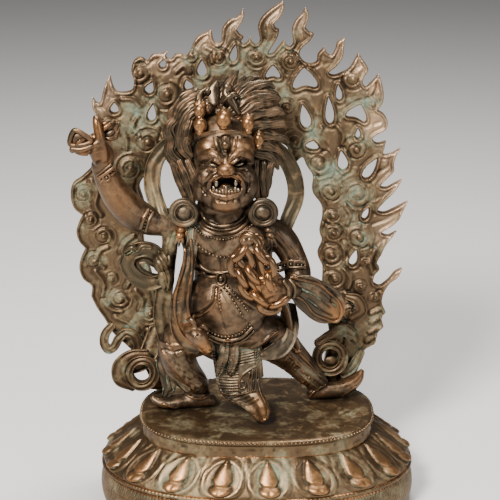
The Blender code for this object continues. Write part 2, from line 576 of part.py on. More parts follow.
def ornaments(bm):
    """Ear discs with pendants, collars, chest strap and its clasp."""
    for x, y, z, drop in ((-21.2, -5.6, 61.3, -2.6), (2.6, -6.6, 62.0, 3.4)):
        round_tube(bm, ((x, y + 1.6, z, 3.2), (x, y, z, 3.9), (x, y - 1.4, z, 3.6)), sides=14, steps=1, facing=(0, 0, 1))
        round_tube(bm, ((x + drop * 0.4, y, z - 2.6, 1.7), (x + drop, y + 0.6, z - 5.6, 1.5), (x + drop, y + 0.8, z - 7.4, 0.6)),
                   sides=8, steps=2)
    sweep(bm, ((-16.8, -4.0, 63.5, 1.2, 1.0), (-13.5, -7.8, 60.2, 1.3, 1.1), (-8.3, -9.4, 58.4, 1.3, 1.1), (-3.2, -7.8, 60.2, 1.3, 1.1),
               (-0.6, -4.0, 63.5, 1.2, 1.0)), sides=8)
    sweep(bm, ((-19, -5.5, 56.5, 0.9, 0.9), (-17.2, -8.4, 50, 0.9, 0.9), (-11.0, -10.6, 44.4, 0.9, 0.9), (-4, -10.4, 44.0, 0.9, 0.9)),
          sides=8)
    blob(bm, (-10.6, -12.2, 42.8), (1.7, 1.2, 2.2), 10, 7)


def scarves(bm):
    """The beast's skin down the left, and the celestial scarf looped at both sides."""
    sweep(bm, ((-17.5, -4, 58, 2.2, 1.5), (-19.6, -7.4, 50, 2.4, 1.6), (-21.6, -9.4, 41.5, 2.5, 1.7), (-23.0, -10.4, 34, 2.6, 1.8),
               (-22.0, -11.4, 27.6, 2.8, 1.9), (-18.4, -12.6, 23.4, 2.8, 2.2), (-15.6, -13.2, 21.6, 2.4, 2.2)), sides=10)
    sweep(bm, ((-17.6, -12.6, 23.4, 2.8, 2.4), (-14.6, -14.0, 20.6, 2.6, 2.4), (-12.2, -14.8, 17.8, 1.2, 1.3)), sides=10)
    blob(bm, (-20.0, -6.4, 32), (4.6, 5.0, 11.0))
    sweep(bm, ((-17.0, 2, 80, 2.0, 1.0), (-24, 3, 79, 2.2, 1.0), (-28.8, 2.4, 73.6, 2.3, 1.0), (-29.8, 1.6, 66.5, 2.3, 1.0),
               (-27.2, 0, 59, 2.2, 1.0), (-24.8, -1.6, 51.5, 2.2, 1.0), (-25.8, -2.6, 44, 2.4, 1.1), (-26.8, -2.6, 36, 2.5, 1.1),
               (-27.8, -2.2, 28, 2.4, 1.1), (-26.6, -2.0, 20, 2.0, 1.1)), sides=9)
    sweep(bm, ((-25.8, -3.4, 44.5, 1.9, 1.0), (-29.6, -4.2, 48.2, 2.0, 1.0), (-34.2, -4.6, 49.4, 2.0, 1.0), (-38.6, -4.6, 47.2, 2.0, 1.0),
               (-39.4, -4.4, 43.2, 2.0, 1.0), (-35.4, -4.2, 39.8, 2.0, 1.0), (-30.2, -3.8, 38.6, 2.0, 1.0), (-26.6, -3.2, 41, 1.9, 1.0)),
          sides=8)
    blob(bm, (-23.6, -1.6, 41), (3.2, 3.0, 5.0))
    sweep(bm, ((-4, 3, 78, 2.0, 1.0), (4, 4, 77.5, 2.2, 1.0), (9.4, 4, 71.5, 2.3, 1.0), (11.2, 3.4, 63.5, 2.3, 1.0),
               (8.8, 2, 56, 2.2, 1.0), (6, 0, 50, 2.2, 1.0)), sides=9)
    sweep(bm, ((8.6, -7.6, 38.6, 2.6, 1.2), (13.2, -6.6, 37, 3.9, 1.3), (17.6, -5.4, 33.4, 4.4, 1.3), (20.6, -4.4, 29.6, 3.4, 1.2),
               (21.6, -4.0, 27.2, 1.6, 0.9)), sides=10)


def keep_outer_skin(item):
    """Applies the object's modifiers and drops the small pockets closed inside its skin."""
    evaluated = item.evaluated_get(bpy.context.evaluated_depsgraph_get())
    bm = bmesh.new()
    bm.from_mesh(evaluated.to_mesh())
    outermost = min(bm.verts, key=lambda vert: vert.co.x)
    reached, waiting = {outermost}, [outermost]
    while waiting:
        for edge in waiting.pop().link_edges:
            for vert in edge.verts:
                if vert not in reached:
                    reached.add(vert)
                    waiting.append(vert)
    bmesh.ops.delete(bm, geom=[vert for vert in bm.verts if vert not in reached], context="VERTS")
    evaluated.to_mesh_clear()
    item.modifiers.clear()
    bm.to_mesh(item.data)
    bm.free()


def build_figure(material):
    """All the forms of the figure, made one skin and thinned to few faces."""
    bm = bmesh.new()
    for make in (torso, head, crown, hair, raised_arm, lowered_arm, legs, drapery, ornaments, scarves):
        make(bm)
    sole = 0.1
    place = Matrix.Translation((0, FIGURE_SETBACK, BASE_HEIGHT + CLEARANCE - sole * FIGURE_UNIT))
    bmesh.ops.transform(bm, matrix=place @ Matrix.Scale(FIGURE_UNIT, 4), verts=bm.verts)
    figure = finish_object("figure", bm, material)
    skin = figure.modifiers.new("one_skin", "REMESH")
    skin.mode = "VOXEL"
    skin.voxel_size = VOXEL * FIGURE_UNIT
    keep_outer_skin(figure)
    thin = figure.modifiers.new("fewer_faces", "DECIMATE")
    thin.ratio = KEPT_FACES
    return figure


for item in list(bpy.data.objects):
    bpy.data.objects.remove(item)
build_base(bronze("base_bronze", (0.20, 0.17, 0.12), 0.45))
build_figure(bronze("figure_bronze", (0.22, 0.15, 0.10), 0.4))
build_aureole(bronze("aureole_bronze", (0.24, 0.19, 0.14), 0.45))
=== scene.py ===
"""Looks of a small bronze guardian: lotus base, pierced aureole of flames and the figure itself.

All sizes here are millimetres in the model's own frame, and meshes are written in metres.
Places read off the photograph are pixels of its 500 x 500 frame, and PhotoCamera turns them,
with a depth, into places on the model.
"""

from __future__ import annotations

import logging
import math
from abc import ABC, abstractmethod
from collections.abc import Callable, Iterable, Iterator, Sequence
from dataclasses import dataclass, field
from enum import Enum

import bmesh
import bpy
import numpy as np
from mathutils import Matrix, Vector, geometry

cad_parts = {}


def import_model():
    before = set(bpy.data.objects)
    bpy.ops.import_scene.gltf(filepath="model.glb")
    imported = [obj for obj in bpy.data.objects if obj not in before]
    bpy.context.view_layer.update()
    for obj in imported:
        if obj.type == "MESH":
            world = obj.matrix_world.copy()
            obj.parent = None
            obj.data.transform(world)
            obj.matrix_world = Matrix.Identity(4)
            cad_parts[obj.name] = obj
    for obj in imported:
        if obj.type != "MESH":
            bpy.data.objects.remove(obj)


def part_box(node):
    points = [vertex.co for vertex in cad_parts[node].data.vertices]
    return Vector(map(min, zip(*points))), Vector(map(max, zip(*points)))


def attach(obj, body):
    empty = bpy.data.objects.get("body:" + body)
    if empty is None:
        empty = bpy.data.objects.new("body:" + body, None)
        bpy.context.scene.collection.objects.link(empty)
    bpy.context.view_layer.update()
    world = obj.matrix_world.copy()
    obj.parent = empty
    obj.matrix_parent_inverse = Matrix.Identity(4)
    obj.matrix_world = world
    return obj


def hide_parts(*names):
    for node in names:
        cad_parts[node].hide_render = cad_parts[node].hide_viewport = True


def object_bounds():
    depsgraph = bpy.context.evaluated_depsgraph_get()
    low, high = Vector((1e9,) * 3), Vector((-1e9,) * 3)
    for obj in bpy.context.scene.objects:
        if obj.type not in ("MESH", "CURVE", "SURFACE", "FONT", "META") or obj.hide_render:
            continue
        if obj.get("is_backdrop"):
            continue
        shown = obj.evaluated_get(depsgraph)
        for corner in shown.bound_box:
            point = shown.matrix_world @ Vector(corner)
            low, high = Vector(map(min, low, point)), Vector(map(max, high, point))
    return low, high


LOG = logging.getLogger("guardian")
Array = np.ndarray
Row = Sequence[float]
Colour = tuple[float, float, float]
MM = 0.001
BODY = "root"


class Section(Enum):
    """The cross-section of a swept form."""

    ROUND = "round"
    CLOTH = "cloth"
    STRANDS = "strands"
    BLADE = "blade"


class Cloud(Enum):
    """The clouds that stain the metal: clouds to the metre, detail and swirl."""

    BROAD = (75, 4, 0.6)
    PATCH = (190, 6, 1.0)
    FINE = (900, 5, 0.0)
    SPECK = (2600, 3, 0.0)


class Node(Enum):
    """The solids that pieces of the scene stand for, with their material slots."""

    BASE = ("lotus_base", "base_bronze")
    FIGURE = ("figure", "figure_bronze")
    AUREOLE = ("flame_aureole", "aureole_bronze")


# The photograph's viewpoint


@dataclass(frozen=True)
class PhotoCamera:
    """The photograph's viewpoint, and its frame of 500 x 500 pixels."""

    target: tuple[float, float, float] = (-2.0, 0.0, 77.0)
    distance: float = 420.0
    elevation: float = 18.0
    pixels_per_mm: float = 3.5
    frame_px: float = 500.0
    sensor: float = 36.0

    @property
    def focal_px(self) -> float:
        """Focal length in pixels."""
        return self.distance * self.pixels_per_mm

    @property
    def tilt(self) -> tuple[float, float]:
        """Sine and cosine of the elevation."""
        angle = math.radians(self.elevation)
        return math.sin(angle), math.cos(angle)

    def place(self, px: float, py: float, depth: float) -> Array:
        """Finds the place seen at a pixel.

        Args:
            px: Column of the pixel.
            py: Row of the pixel, from the top.
            depth: The place's y in millimetres.

        Returns:
            The place as x, y and z in millimetres.
        """
        sine, cosine = self.tilt
        up = (self.frame_px / 2 - py) / self.focal_px
        rise = (up * (self.distance + depth * cosine) - depth * sine) / (cosine + up * sine)
        away = self.distance + depth * cosine - rise * sine
        across = (px - self.frame_px / 2) / self.focal_px * away
        return np.array((self.target[0] + across, depth, self.target[2] + rise))

    def pixels(self, points: Array) -> Array:
        """Finds the pixels at which points are seen.

        Args:
            points: Rows of x, y and z in millimetres.

        Returns:
            Rows of column and row in the photograph's frame.
        """
        sine, cosine = self.tilt
        x, y, z = (points - np.array(self.target)).T
        away = self.distance + y * cosine - z * sine
        half = self.frame_px / 2
        return np.stack((half + self.focal_px * x / away, half - self.focal_px * (y * sine + z * cosine) / away), 1)

    @property
    def towards(self) -> Array:
        """Unit vector from the model to the camera."""
        sine, cosine = self.tilt
        return np.array((0.0, -cosine, sine))

    def build(self) -> None:
        """Makes the camera and gives it to the scene."""
        camera = bpy.data.cameras.new("photo_camera")
        camera.sensor_width = self.sensor
        camera.lens = self.focal_px * self.sensor / self.frame_px
        camera.clip_start = 0.01
        camera.clip_end = 20
        item = bpy.data.objects.new("photo_camera", camera)
        item.location = Vector((np.array(self.target) + self.towards * self.distance) * MM)
        item.rotation_euler = (math.radians(90 - self.elevation), 0, 0)
        bpy.context.scene.collection.objects.link(item)
        bpy.context.scene.camera = item


PHOTO = PhotoCamera()


# Curves and shapes


def spline(rows: Iterable[Row], step: float, corners: Iterable[int] = (), closed: bool = False) -> Array:
    """Draws a smooth curve through rows of numbers.

    Args:
        rows: The rows, whose first two or three numbers are a place.
        step: Spacing of the curve's points, in the rows' own unit.
        corners: Indexes of the rows where the curve turns sharply.
        closed: Whether the last row leads back to the first.

    Returns:
        Rows along the curve.
    """
    rows = np.array(list(rows), float)
    count, sharp = len(rows), set(corners)
    place = rows[:, : min(3, rows.shape[1])]
    ahead = np.roll(rows, -1, 0)
    length = np.linalg.norm(np.roll(place, -1, 0) - place, axis=1) + 1e-9
    slope_out, slope_in = np.empty_like(rows), np.empty_like(rows)
    for i in range(count):
        before, reach = rows[i - 1], length[i - 1]
        first, last = not closed and i == 0, not closed and i == count - 1
        through = (ahead[i] - before) / (reach + length[i])
        onward, inward = (ahead[i] - rows[i]) / length[i], (rows[i] - before) / reach
        turned = i in sharp
        slope_out[i] = onward if turned or first else inward if last else through
        slope_in[i] = inward if turned or last else onward if first else through
    drawn = []
    for i in range(count if closed else count - 1):
        j = (i + 1) % count
        parts = max(1, round(length[i] / step))
        t = (np.arange(parts) / parts)[:, None]
        drawn.append(
            (2 * t**3 - 3 * t**2 + 1) * rows[i]
            + (t**3 - 2 * t**2 + t) * slope_out[i] * length[i]
            + (3 * t**2 - 2 * t**3) * rows[j]
            + (t**3 - t**2) * slope_in[j] * length[i]
        )
    if not closed:
        drawn.append(rows[-1:])
    return np.concatenate(drawn)


def bump(distance: Array) -> Array:
    """A rounded hump: 1 where distance is 0, and 0 from 1 on."""
    return np.clip(1 - distance**2, 0, 1) ** 1.5


def ridges(distance: Array, rows: Iterable[Row]) -> Array:
    """Adds up ridges and grooves that run along a line.

    Args:
        distance: How far each point is from the line.
        rows: For each one its height, how far from the line it runs and its half width.

    Returns:
        The height at each point.
    """
    return sum(height * bump((distance - at) / wide) for height, at, wide in rows)


def section_ring(section: Section, sides: int, along: float) -> Array:
    """Draws one cross-section, of half width and half thickness 1.

    Args:
        section: Its kind.
        sides: How many points it has.
        along: How far along the form it stands, in widths.

    Returns:
        Rows of across and out.
    """
    angle = 2 * np.pi * np.arange(sides) / sides
    across, out = np.cos(angle), np.sin(angle)
    if section is Section.STRANDS:
        reach = 1 + 0.075 * np.cos(11 * angle + 0.5 * along) + 0.04 * np.cos(17 * angle - 0.8 * along)
        return np.stack((across * reach, out * reach), 1)
    if section is Section.CLOTH:
        edge = np.exp(-(((np.abs(across) - 0.9) / 0.07) ** 2))
        folds = 0.17 * np.cos(2.1 * np.pi * across + 0.9 * np.sin(0.45 * along))
        thick = 0.55 * np.sign(out) * np.abs(out) ** 0.45 + folds
        return np.stack((across, thick + 0.36 * edge * (out > 0)), 1)
    if section is Section.BLADE:
        return np.stack((across, np.sign(out) * np.abs(out) ** 1.6), 1)
    return np.stack((across, out), 1)


class Shape:
    """Closed skins gathered as points and faces, in millimetres."""

    def __init__(self) -> None:
        """Starts with nothing."""
        self.points: Array = np.zeros((0, 3))
        self.quads: Array = np.zeros((0, 4), int)
        self.tris: Array = np.zeros((0, 3), int)

    def add(self, points: Array, quads: Array | None = None, tris: Array | None = None) -> Shape:
        """Adds a mesh.

        Args:
            points: Its points.
            quads: Its four-sided faces.
            tris: Its triangles.

        Returns:
            The shape itself.
        """
        first = len(self.points)
        self.points = np.concatenate((self.points, points))
        if quads is not None and len(quads):
            self.quads = np.concatenate((self.quads, np.asarray(quads) + first))
        if tris is not None and len(tris):
            self.tris = np.concatenate((self.tris, np.asarray(tris) + first))
        return self

    def join(self, other: Shape) -> Shape:
        """Adds another shape."""
        return self.add(other.points, other.quads, other.tris)

    def loft(self, rings: Array, closed: bool = False) -> Shape:
        """Skins rings of points, with a pole at each open end.

        Args:
            rings: Array of rings, points in a ring, and x, y and z.
            closed: Whether the last ring leads back to the first.

        Returns:
            The shape itself.
        """
        rows, sides = rings.shape[:2]
        index = np.arange(rows * sides).reshape(rows, sides)
        low = index if closed else index[:-1]
        high = np.roll(index, -1, 0) if closed else index[1:]
        quads = np.stack((low, np.roll(low, -1, 1), np.roll(high, -1, 1), high), -1).reshape(-1, 4)
        points, tris = rings.reshape(-1, 3), None
        if not closed:
            start, end = rows * sides, rows * sides + 1
            points = np.concatenate((points, rings[:1].mean(1), rings[-1:].mean(1)))
            tris = np.concatenate((
                np.stack((np.roll(index[0], -1), index[0], np.full(sides, start)), 1),
                np.stack((index[-1], np.roll(index[-1], -1), np.full(sides, end)), 1),
            ))
        return self.add(points, quads, tris)

    def sweep(
        self,
        rows: Iterable[Row],
        section: Section = Section.ROUND,
        sides: int = 16,
        step: float = 0.7,
        facing: Row = (0, -1, 0),
        closed: bool = False,
    ) -> Shape:
        """Sweeps a section along a path and rounds its ends.

        Args:
            rows: Rows of x, y, z, half width and, unless round, half thickness.
            section: The section's kind.
            sides: Points around it.
            step: Spacing along the path.
            facing: The way that the thickness points, as near as the path allows.
            closed: Whether the path is a loop.

        Returns:
            The shape itself.
        """
        rows = np.array([row if len(row) == 5 else (*row, row[3]) for row in rows], float)
        path = spline(rows, step, closed=closed)
        place, size = path[:, :3], np.maximum(path[:, 3:5], 0.02)
        if closed:
            tangent = np.roll(place, -1, 0) - np.roll(place, 1, 0)
        else:
            tangent = np.gradient(place, axis=0)
        tangent /= np.linalg.norm(tangent, axis=1)[:, None] + 1e-9
        wanted = np.array(facing, float)
        normal, normals = wanted.copy(), []
        for heading in tangent:
            ideal = wanted - heading * heading.dot(wanted)
            kept = normal - heading * heading.dot(normal)
            normal = 0.35 * ideal + kept
            normal /= np.linalg.norm(normal) + 1e-9
            normals.append(normal)
        normals = np.array(normals)
        side = np.cross(normals, tangent)
        travelled = np.concatenate(((0,), np.cumsum(np.linalg.norm(np.diff(place, axis=0), axis=1))))
        plans = np.array([section_ring(section, sides, far) for far in travelled])
        if not closed:
            round_off = np.radians((25, 50, 72))
            for end, way in ((0, -1.0), (-1, 1.0)):
                reach = way * size[end].min() * 0.9
                caps = [
                    (place, place[end] + reach * np.sin(round_off)[:, None] * tangent[end]),
                    (size, size[end] * np.cos(round_off)[:, None]),
                    *((kept, np.repeat(kept[end][None], 3, 0)) for kept in (normals, side, plans)),
                ]
                place, size, normals, side, plans = (
                    np.concatenate((cap[::-1], kept) if end == 0 else (kept, cap)) for kept, cap in caps
                )
        rings = (
            place[:, None]
            + side[:, None] * (plans[:, :, 0] * size[:, :1])[..., None]
            + normals[:, None] * (plans[:, :, 1] * size[:, 1:2])[..., None]
        )
        return self.loft(rings, closed)

    def blob(self, centre: Row, radii: Row, turn: float = 0.0, sides: int = 28) -> Shape:
        """Adds an ellipsoid.

        Args:
            centre: Its middle.
            radii: Its three radii.
            turn: Its turn about the y axis, in degrees.
            sides: Points around it.

        Returns:
            The shape itself.
        """
        up = np.radians(np.linspace(-84, 84, sides // 2))
        round_ = 2 * np.pi * np.arange(sides) / sides
        ring = np.stack((
            np.cos(up)[:, None] * np.cos(round_) * radii[0],
            np.cos(up)[:, None] * np.sin(round_) * radii[1],
            np.repeat(np.sin(up)[:, None] * radii[2], sides, 1),
        ), -1)
        c, s = math.cos(math.radians(turn)), math.sin(math.radians(turn))
        x, z = ring[..., 0].copy(), ring[..., 2].copy()
        ring[..., 0], ring[..., 2] = x * c + z * s, z * c - x * s
        return self.loft(ring + np.array(centre))

    def blobs(self, rows: Iterable[Row], sides: int = 28) -> Shape:
        """Adds ellipsoids placed by the photograph.

        Args:
            rows: Rows of px, py, y, three radii and, where it is turned, a turn.
            sides: Points around each.

        Returns:
            The shape itself.
        """
        for px, py, y, *size in rows:
            self.blob(PHOTO.place(px, py, y), size[:3], *size[3:], sides=sides)
        return self

    def sweeps(self, paths: Iterable[Iterable[Row]], section: Section = Section.ROUND, *how: float) -> Shape:
        """Sweeps one section along several paths.

        Args:
            paths: The paths' rows.
            section: The section's kind.
            how: The points around it, and the spacing along the path.

        Returns:
            The shape itself.
        """
        for rows in paths:
            self.sweep(rows, section, *how)
        return self

    def to_mesh(self, name: str) -> bpy.types.Mesh:
        """Writes the shape as a mesh, in metres, with its faces turned outwards.

        Args:
            name: What the mesh is called.

        Returns:
            The mesh.
        """
        mesh = bpy.data.meshes.new(name)
        faces = self.quads.tolist() + self.tris.tolist()
        mesh.from_pydata((self.points * MM).tolist(), [], faces)
        bm = bmesh.new()
        bm.from_mesh(mesh)
        bmesh.ops.recalc_face_normals(bm, faces=bm.faces)
        bm.to_mesh(mesh)
        bm.free()
        return mesh

    @classmethod
    def from_mesh(cls, mesh: bpy.types.Mesh) -> Shape:
        """Reads a mesh.

        Args:
            mesh: The mesh, in metres.

        Returns:
            Its points and faces as a shape.
        """
        shape = cls()
        points = np.empty(len(mesh.vertices) * 3)
        mesh.vertices.foreach_get("co", points)
        sizes = np.empty(len(mesh.polygons), int)
        mesh.polygons.foreach_get("loop_total", sizes)
        starts = np.empty(len(mesh.polygons), int)
        mesh.polygons.foreach_get("loop_start", starts)
        corners = np.empty(len(mesh.loops), int)
        mesh.loops.foreach_get("vertex_index", corners)
        quads = corners[starts[sizes == 4][:, None] + np.arange(4)]
        tris = corners[starts[sizes == 3][:, None] + np.arange(3)]
        return shape.add(points.reshape(-1, 3) / MM, quads, tris)

    def fuse(self, voxel: float, smoothing: int = 2) -> Shape:
        """Melts overlapping forms into one skin.

        Args:
            voxel: Size of the skin's faces.
            smoothing: Rounds of smoothing that follow.

        Returns:
            The new shape.
        """
        item = bpy.data.objects.new("fusing", self.to_mesh("fusing"))
        bpy.context.scene.collection.objects.link(item)
        melt = item.modifiers.new("melt", "REMESH")
        melt.mode = "VOXEL"
        melt.voxel_size = voxel * MM
        fused = Shape.from_mesh(item.evaluated_get(bpy.context.evaluated_depsgraph_get()).to_mesh())
        bpy.data.objects.remove(item)
        fused.points = fused.settled(smoothing)
        return fused

    def edges(self) -> Array:
        """Lists the edges.

        Returns:
            Rows of two neighbouring points' numbers.
        """
        found = [self.quads[:, [i, (i + 1) % 4]] for i in range(4)]
        found += [self.tris[:, [i, (i + 1) % 3]] for i in range(3)]
        return np.concatenate(found)

    def settled(self, rounds: int) -> Array:
        """Smooths the points, each moving half way to its neighbours' middle.

        Args:
            rounds: How many times they move.

        Returns:
            The new points. The shape keeps its own.
        """
        pairs, total = self.edges(), len(self.points)
        number = np.bincount(pairs[:, 0], minlength=total) + np.bincount(pairs[:, 1], minlength=total)
        points = self.points.copy()
        for _ in range(rounds):
            for axis in range(3):
                value = points[:, axis]
                pull = np.bincount(pairs[:, 0], value[pairs[:, 1]], total)
                pull += np.bincount(pairs[:, 1], value[pairs[:, 0]], total)
                points[:, axis] = 0.5 * value + 0.5 * pull / np.maximum(number, 1)
        return points

    def areas(self) -> tuple[Array, Array]:
        """Measures the surface.

        Returns:
            Each point's outward normal, and its share of the surface.
        """
        corners = np.concatenate((self.tris, self.quads[:, :3], self.quads[:, [0, 2, 3]]))
        a, b, c = (self.points[corners[:, i]] for i in range(3))
        cross = np.cross(b - a, c - a)
        normal = np.stack([
            sum(np.bincount(corners[:, i], cross[:, axis], len(self.points)) for i in range(3)) for axis in range(3)
        ], 1)
        size = np.linalg.norm(normal, axis=1)
        return normal / (size[:, None] + 1e-12), size / 6


# The engraver's tools: lines drawn as the photograph shows them, cut or raised on a skin


@dataclass
class Stroke:
    """One line that is raised from, or cut into, the side of a skin that faces the photograph."""

    points: Sequence[tuple[float, float]]
    width: float
    height: float
    beads: float = 0.0
    closed: bool = False


def engrave(shape: Shape, strokes: Iterable[Stroke]) -> None:
    """Moves a skin's points along their normals under strokes.

    Args:
        shape: The skin, changed in place.
        strokes: What to raise (height over 0) or cut (under 0); widths and spacings are pixels.
    """
    normal, _ = shape.areas()
    seen = PHOTO.pixels(shape.points)
    front = np.clip(normal @ PHOTO.towards * 2.5 - 0.1, 0, 1)
    moved = np.zeros(len(seen))
    for stroke in strokes:
        path = np.array(stroke.points)
        if len(path) > 1:
            path = spline(path, 0.4, closed=stroke.closed)
        reach = stroke.width * 1.2
        low, high = path.min(0) - reach, path.max(0) + reach
        chosen = np.nonzero(((seen > low) & (seen < high)).all(1) & (front > 0))[0]
        if not len(chosen):
            continue
        gap = np.linalg.norm(seen[chosen][:, None] - path[None], axis=2)
        near = gap.argmin(1)
        away = gap[np.arange(len(chosen)), near] / stroke.width
        amount = stroke.height * bump(away)
        if stroke.beads:
            travelled = np.concatenate(((0,), np.cumsum(np.linalg.norm(np.diff(path, axis=0), axis=1))))
            amount *= 0.45 + 0.55 * np.cos(2 * np.pi * travelled[near] / stroke.beads)
        moved[chosen] += amount * front[chosen]
    shape.points = shape.points + normal * moved[:, None]


# Finishes


class Wire:
    """A value in a node tree, which ordinary arithmetic works on."""

    def __init__(self, board: Board, socket: bpy.types.NodeSocket) -> None:
        """Wraps a node's output."""
        self.board, self.socket = board, socket

    def maths(self, operation: str, first: Wire | float, second: Wire | float) -> Wire:
        """Adds a Math node."""
        return self.board.add("ShaderNodeMath", {0: first, 1: second}, operation=operation)

    def __add__(self, other: Wire | float) -> Wire:
        """Sum."""
        return self.maths("ADD", self, other)

    def __radd__(self, other: float) -> Wire:
        """Sum, from the right."""
        return self.maths("ADD", other, self)

    def __sub__(self, other: Wire | float) -> Wire:
        """Difference."""
        return self.maths("SUBTRACT", self, other)

    def __rsub__(self, other: float) -> Wire:
        """Difference, from the right."""
        return self.maths("SUBTRACT", other, self)

    def __mul__(self, other: Wire | float) -> Wire:
        """Product."""
        return self.maths("MULTIPLY", self, other)

    def __rmul__(self, other: float) -> Wire:
        """Product, from the right."""
        return self.maths("MULTIPLY", other, self)

    def between(self, low: float, high: float) -> Wire:
        """Rises smoothly from 0 at low to 1 at high."""
        limits = {"Value": self, "From Min": low, "From Max": high}
        return self.board.add("ShaderNodeMapRange", limits, "Result", interpolation_type="SMOOTHSTEP")


class Board:
    """A node tree in which every node is made by one method."""

    def __init__(self, tree: bpy.types.NodeTree) -> None:
        """Wraps the tree."""
        self.tree = tree

    def add(self, kind: str, sockets: dict[str | int, object], out: str | int = 0, **settings: object) -> Wire:
        """Adds a node.

        Args:
            kind: The node's type.
            sockets: Values or wires for its inputs, by the inputs' names or numbers.
            out: Name or number of the output that is wanted.
            settings: The node's own properties, which are set first.

        Returns:
            The wanted output.
        """
        made = self.tree.nodes.new(kind)
        for name, value in settings.items():
            setattr(made, name, value)
        for name, value in sockets.items():
            self.feed(made, name, value)
        return Wire(self, made.outputs[out])

    def feed(self, node: bpy.types.Node, name: str | int, value: object) -> None:
        """Gives a value or a wire to a node's input.

        Args:
            node: The node.
            name: The input's name or number.
            value: The value, or the wire that is linked to it.
        """
        if isinstance(value, Wire):
            self.tree.links.new(value.socket, node.inputs[name])
        else:
            node.inputs[name].default_value = value

    def blend(self, share: Wire, first: Wire | Row, second: Wire | Row) -> Wire:
        """Mixes two colours.

        Args:
            share: The second colour's share.
            first: The first colour.
            second: The second colour.

        Returns:
            The mixed colour.
        """
        colours = [value if isinstance(value, Wire) else (*value, 1) for value in (first, second)]
        return self.add("ShaderNodeMix", {0: share, 6: colours[0], 7: colours[1]}, 2, data_type="RGBA")

    def cloud(self, place: Wire, cloud: Cloud) -> Wire:
        """Makes a cloudy value that is fixed to the metal.

        Args:
            place: The place on the metal.
            cloud: The kind of cloud.

        Returns:
            The value, from 0 to 1.
        """
        scale, detail, swirl = cloud.value
        sockets = {"Vector": place, "Scale": scale, "Detail": detail, "Roughness": 0.62, "Distortion": swirl}
        return self.add("ShaderNodeTexNoise", sockets, "Fac")

    def kept(self, name: str) -> Wire:
        """A value kept on the mesh's points."""
        return self.add("ShaderNodeAttribute", {}, "Fac", attribute_name=name)


@dataclass(frozen=True)
class BronzeFinish:
    """An old bronze: brown metal, rubbed to copper where it stands proud, green in its hollows and darkened deep in
    them with painted shade.
    """

    name: str
    brown: Colour
    # Near-black painted shade, blended into the deepest and most crowded hollows.
    painted_shade_colour: Colour = (0.012, 0.008, 0.005)
    copper: Colour = (0.230, 0.108, 0.046)
    green: Colour = (0.120, 0.170, 0.125)
    rust: Colour = (0.20, 0.085, 0.035)
    # Colour of hand polish; the flame plate's paler one paints its tips, rubbed polish with a painted highlight.
    polished: Colour = (0.32, 0.150, 0.056)
    rubbed: float = 0.62
    greened: float = 0.42
    mottled: float = 0.35
    gloss: float = 0.36
    grain: float = 0.25
    grain_depth: float = 0.22 * MM

    def build(self) -> bpy.types.Material:
        """Makes the material.

        Returns:
            The material, which reads the attributes proud, hollow and handled.
        """
        material = bpy.data.materials.new(self.name)
        material.use_nodes = True
        board = Board(material.node_tree)
        shader = material.node_tree.nodes["Principled BSDF"]
        place = board.add("ShaderNodeTexCoord", {}, "Object")
        broad, patch, fine, speck = (board.cloud(place, cloud) for cloud in Cloud)
        proud = board.kept("proud") + (patch - 0.5) * 0.22 + (fine - 0.5) * 0.18
        # The hollow value places the green patina here, and the painted shade below.
        hollow = board.kept("hollow") * 0.8 + (broad - 0.5) * 0.9 + (patch - 0.5) * 0.5 + 0.06
        handled = board.kept("handled")

        rubbed = proud.between(self.rubbed, self.rubbed + 0.34)
        # Painted shade: mask that darkens the deepest, most crowded hollows towards near-black.
        painted_shade = board.kept("hollow").between(0.24, 0.7)
        clean = (1 - rubbed) * (1 - (handled * 1.2).between(0, 1))
        greened = hollow.between(1 - self.greened, 1.28 - self.greened) * clean
        mottle = (broad * 0.6 + patch * 0.4).between(0.46, 0.66) * self.mottled * clean
        rusted = (broad * 0.4 + patch * 0.4 + fine * 0.2).between(0.47, 0.6) * 0.7
        deep, pale = (tuple(share * c for c in self.green) for share in (0.62, 1.45))
        green = board.blend(fine.between(0.35, 0.7), deep, pale)
        metal = board.blend(painted_shade, self.brown, self.painted_shade_colour)
        metal = board.blend(rusted, metal, self.rust)
        metal = board.blend(mottle, metal, green)
        metal = board.blend(rubbed * 0.5, metal, self.copper)
        # Hand polish; on the flame plate the same values paint a pale highlight at the flame tips.
        metal = board.blend(handled * (fine * 0.5 + 0.6), metal, self.polished)
        board.feed(shader, "Base Color", board.blend(greened * 0.9, metal, green))

        matt = greened * 0.9 + mottle * 0.75
        board.feed(shader, "Metallic", 0.86 - 0.66 * matt.between(0, 1))
        rough = (patch - 0.5) * 0.28 + (fine - 0.5) * 0.2 + matt * 0.4 + painted_shade * 0.14 - rubbed * 0.08 + self.gloss
        board.feed(shader, "Roughness", rough.between(0.0, 1.0))
        pitted = fine * 0.6 + speck * 0.25 + patch * 0.5
        grain = {"Strength": self.grain, "Distance": self.grain_depth, "Height": pitted}
        board.feed(shader, "Normal", board.add("ShaderNodeBump", grain, "Normal"))
        return material


# The foundry keeps every piece until all of them are there, because a hollow, green with patina and darkened with
# painted shade, can lie between two


@dataclass
class Casting:
    """One piece of the scene before it becomes an object."""

    name: str
    shape: Shape
    finish: BronzeFinish
    node: Node
    wear_reach: int = 14
    wear_gain: float = 2.4
    # Extra polish per point; on the flame plate it is rubbed polish with a painted highlight at the tips.
    polish: Array | None = None


class SubAssembly(ABC):
    """A part of the statue, which hands over its pieces one by one."""

    @abstractmethod
    def pieces(self) -> Iterator[Casting]:
        """Makes the pieces, one after the other."""


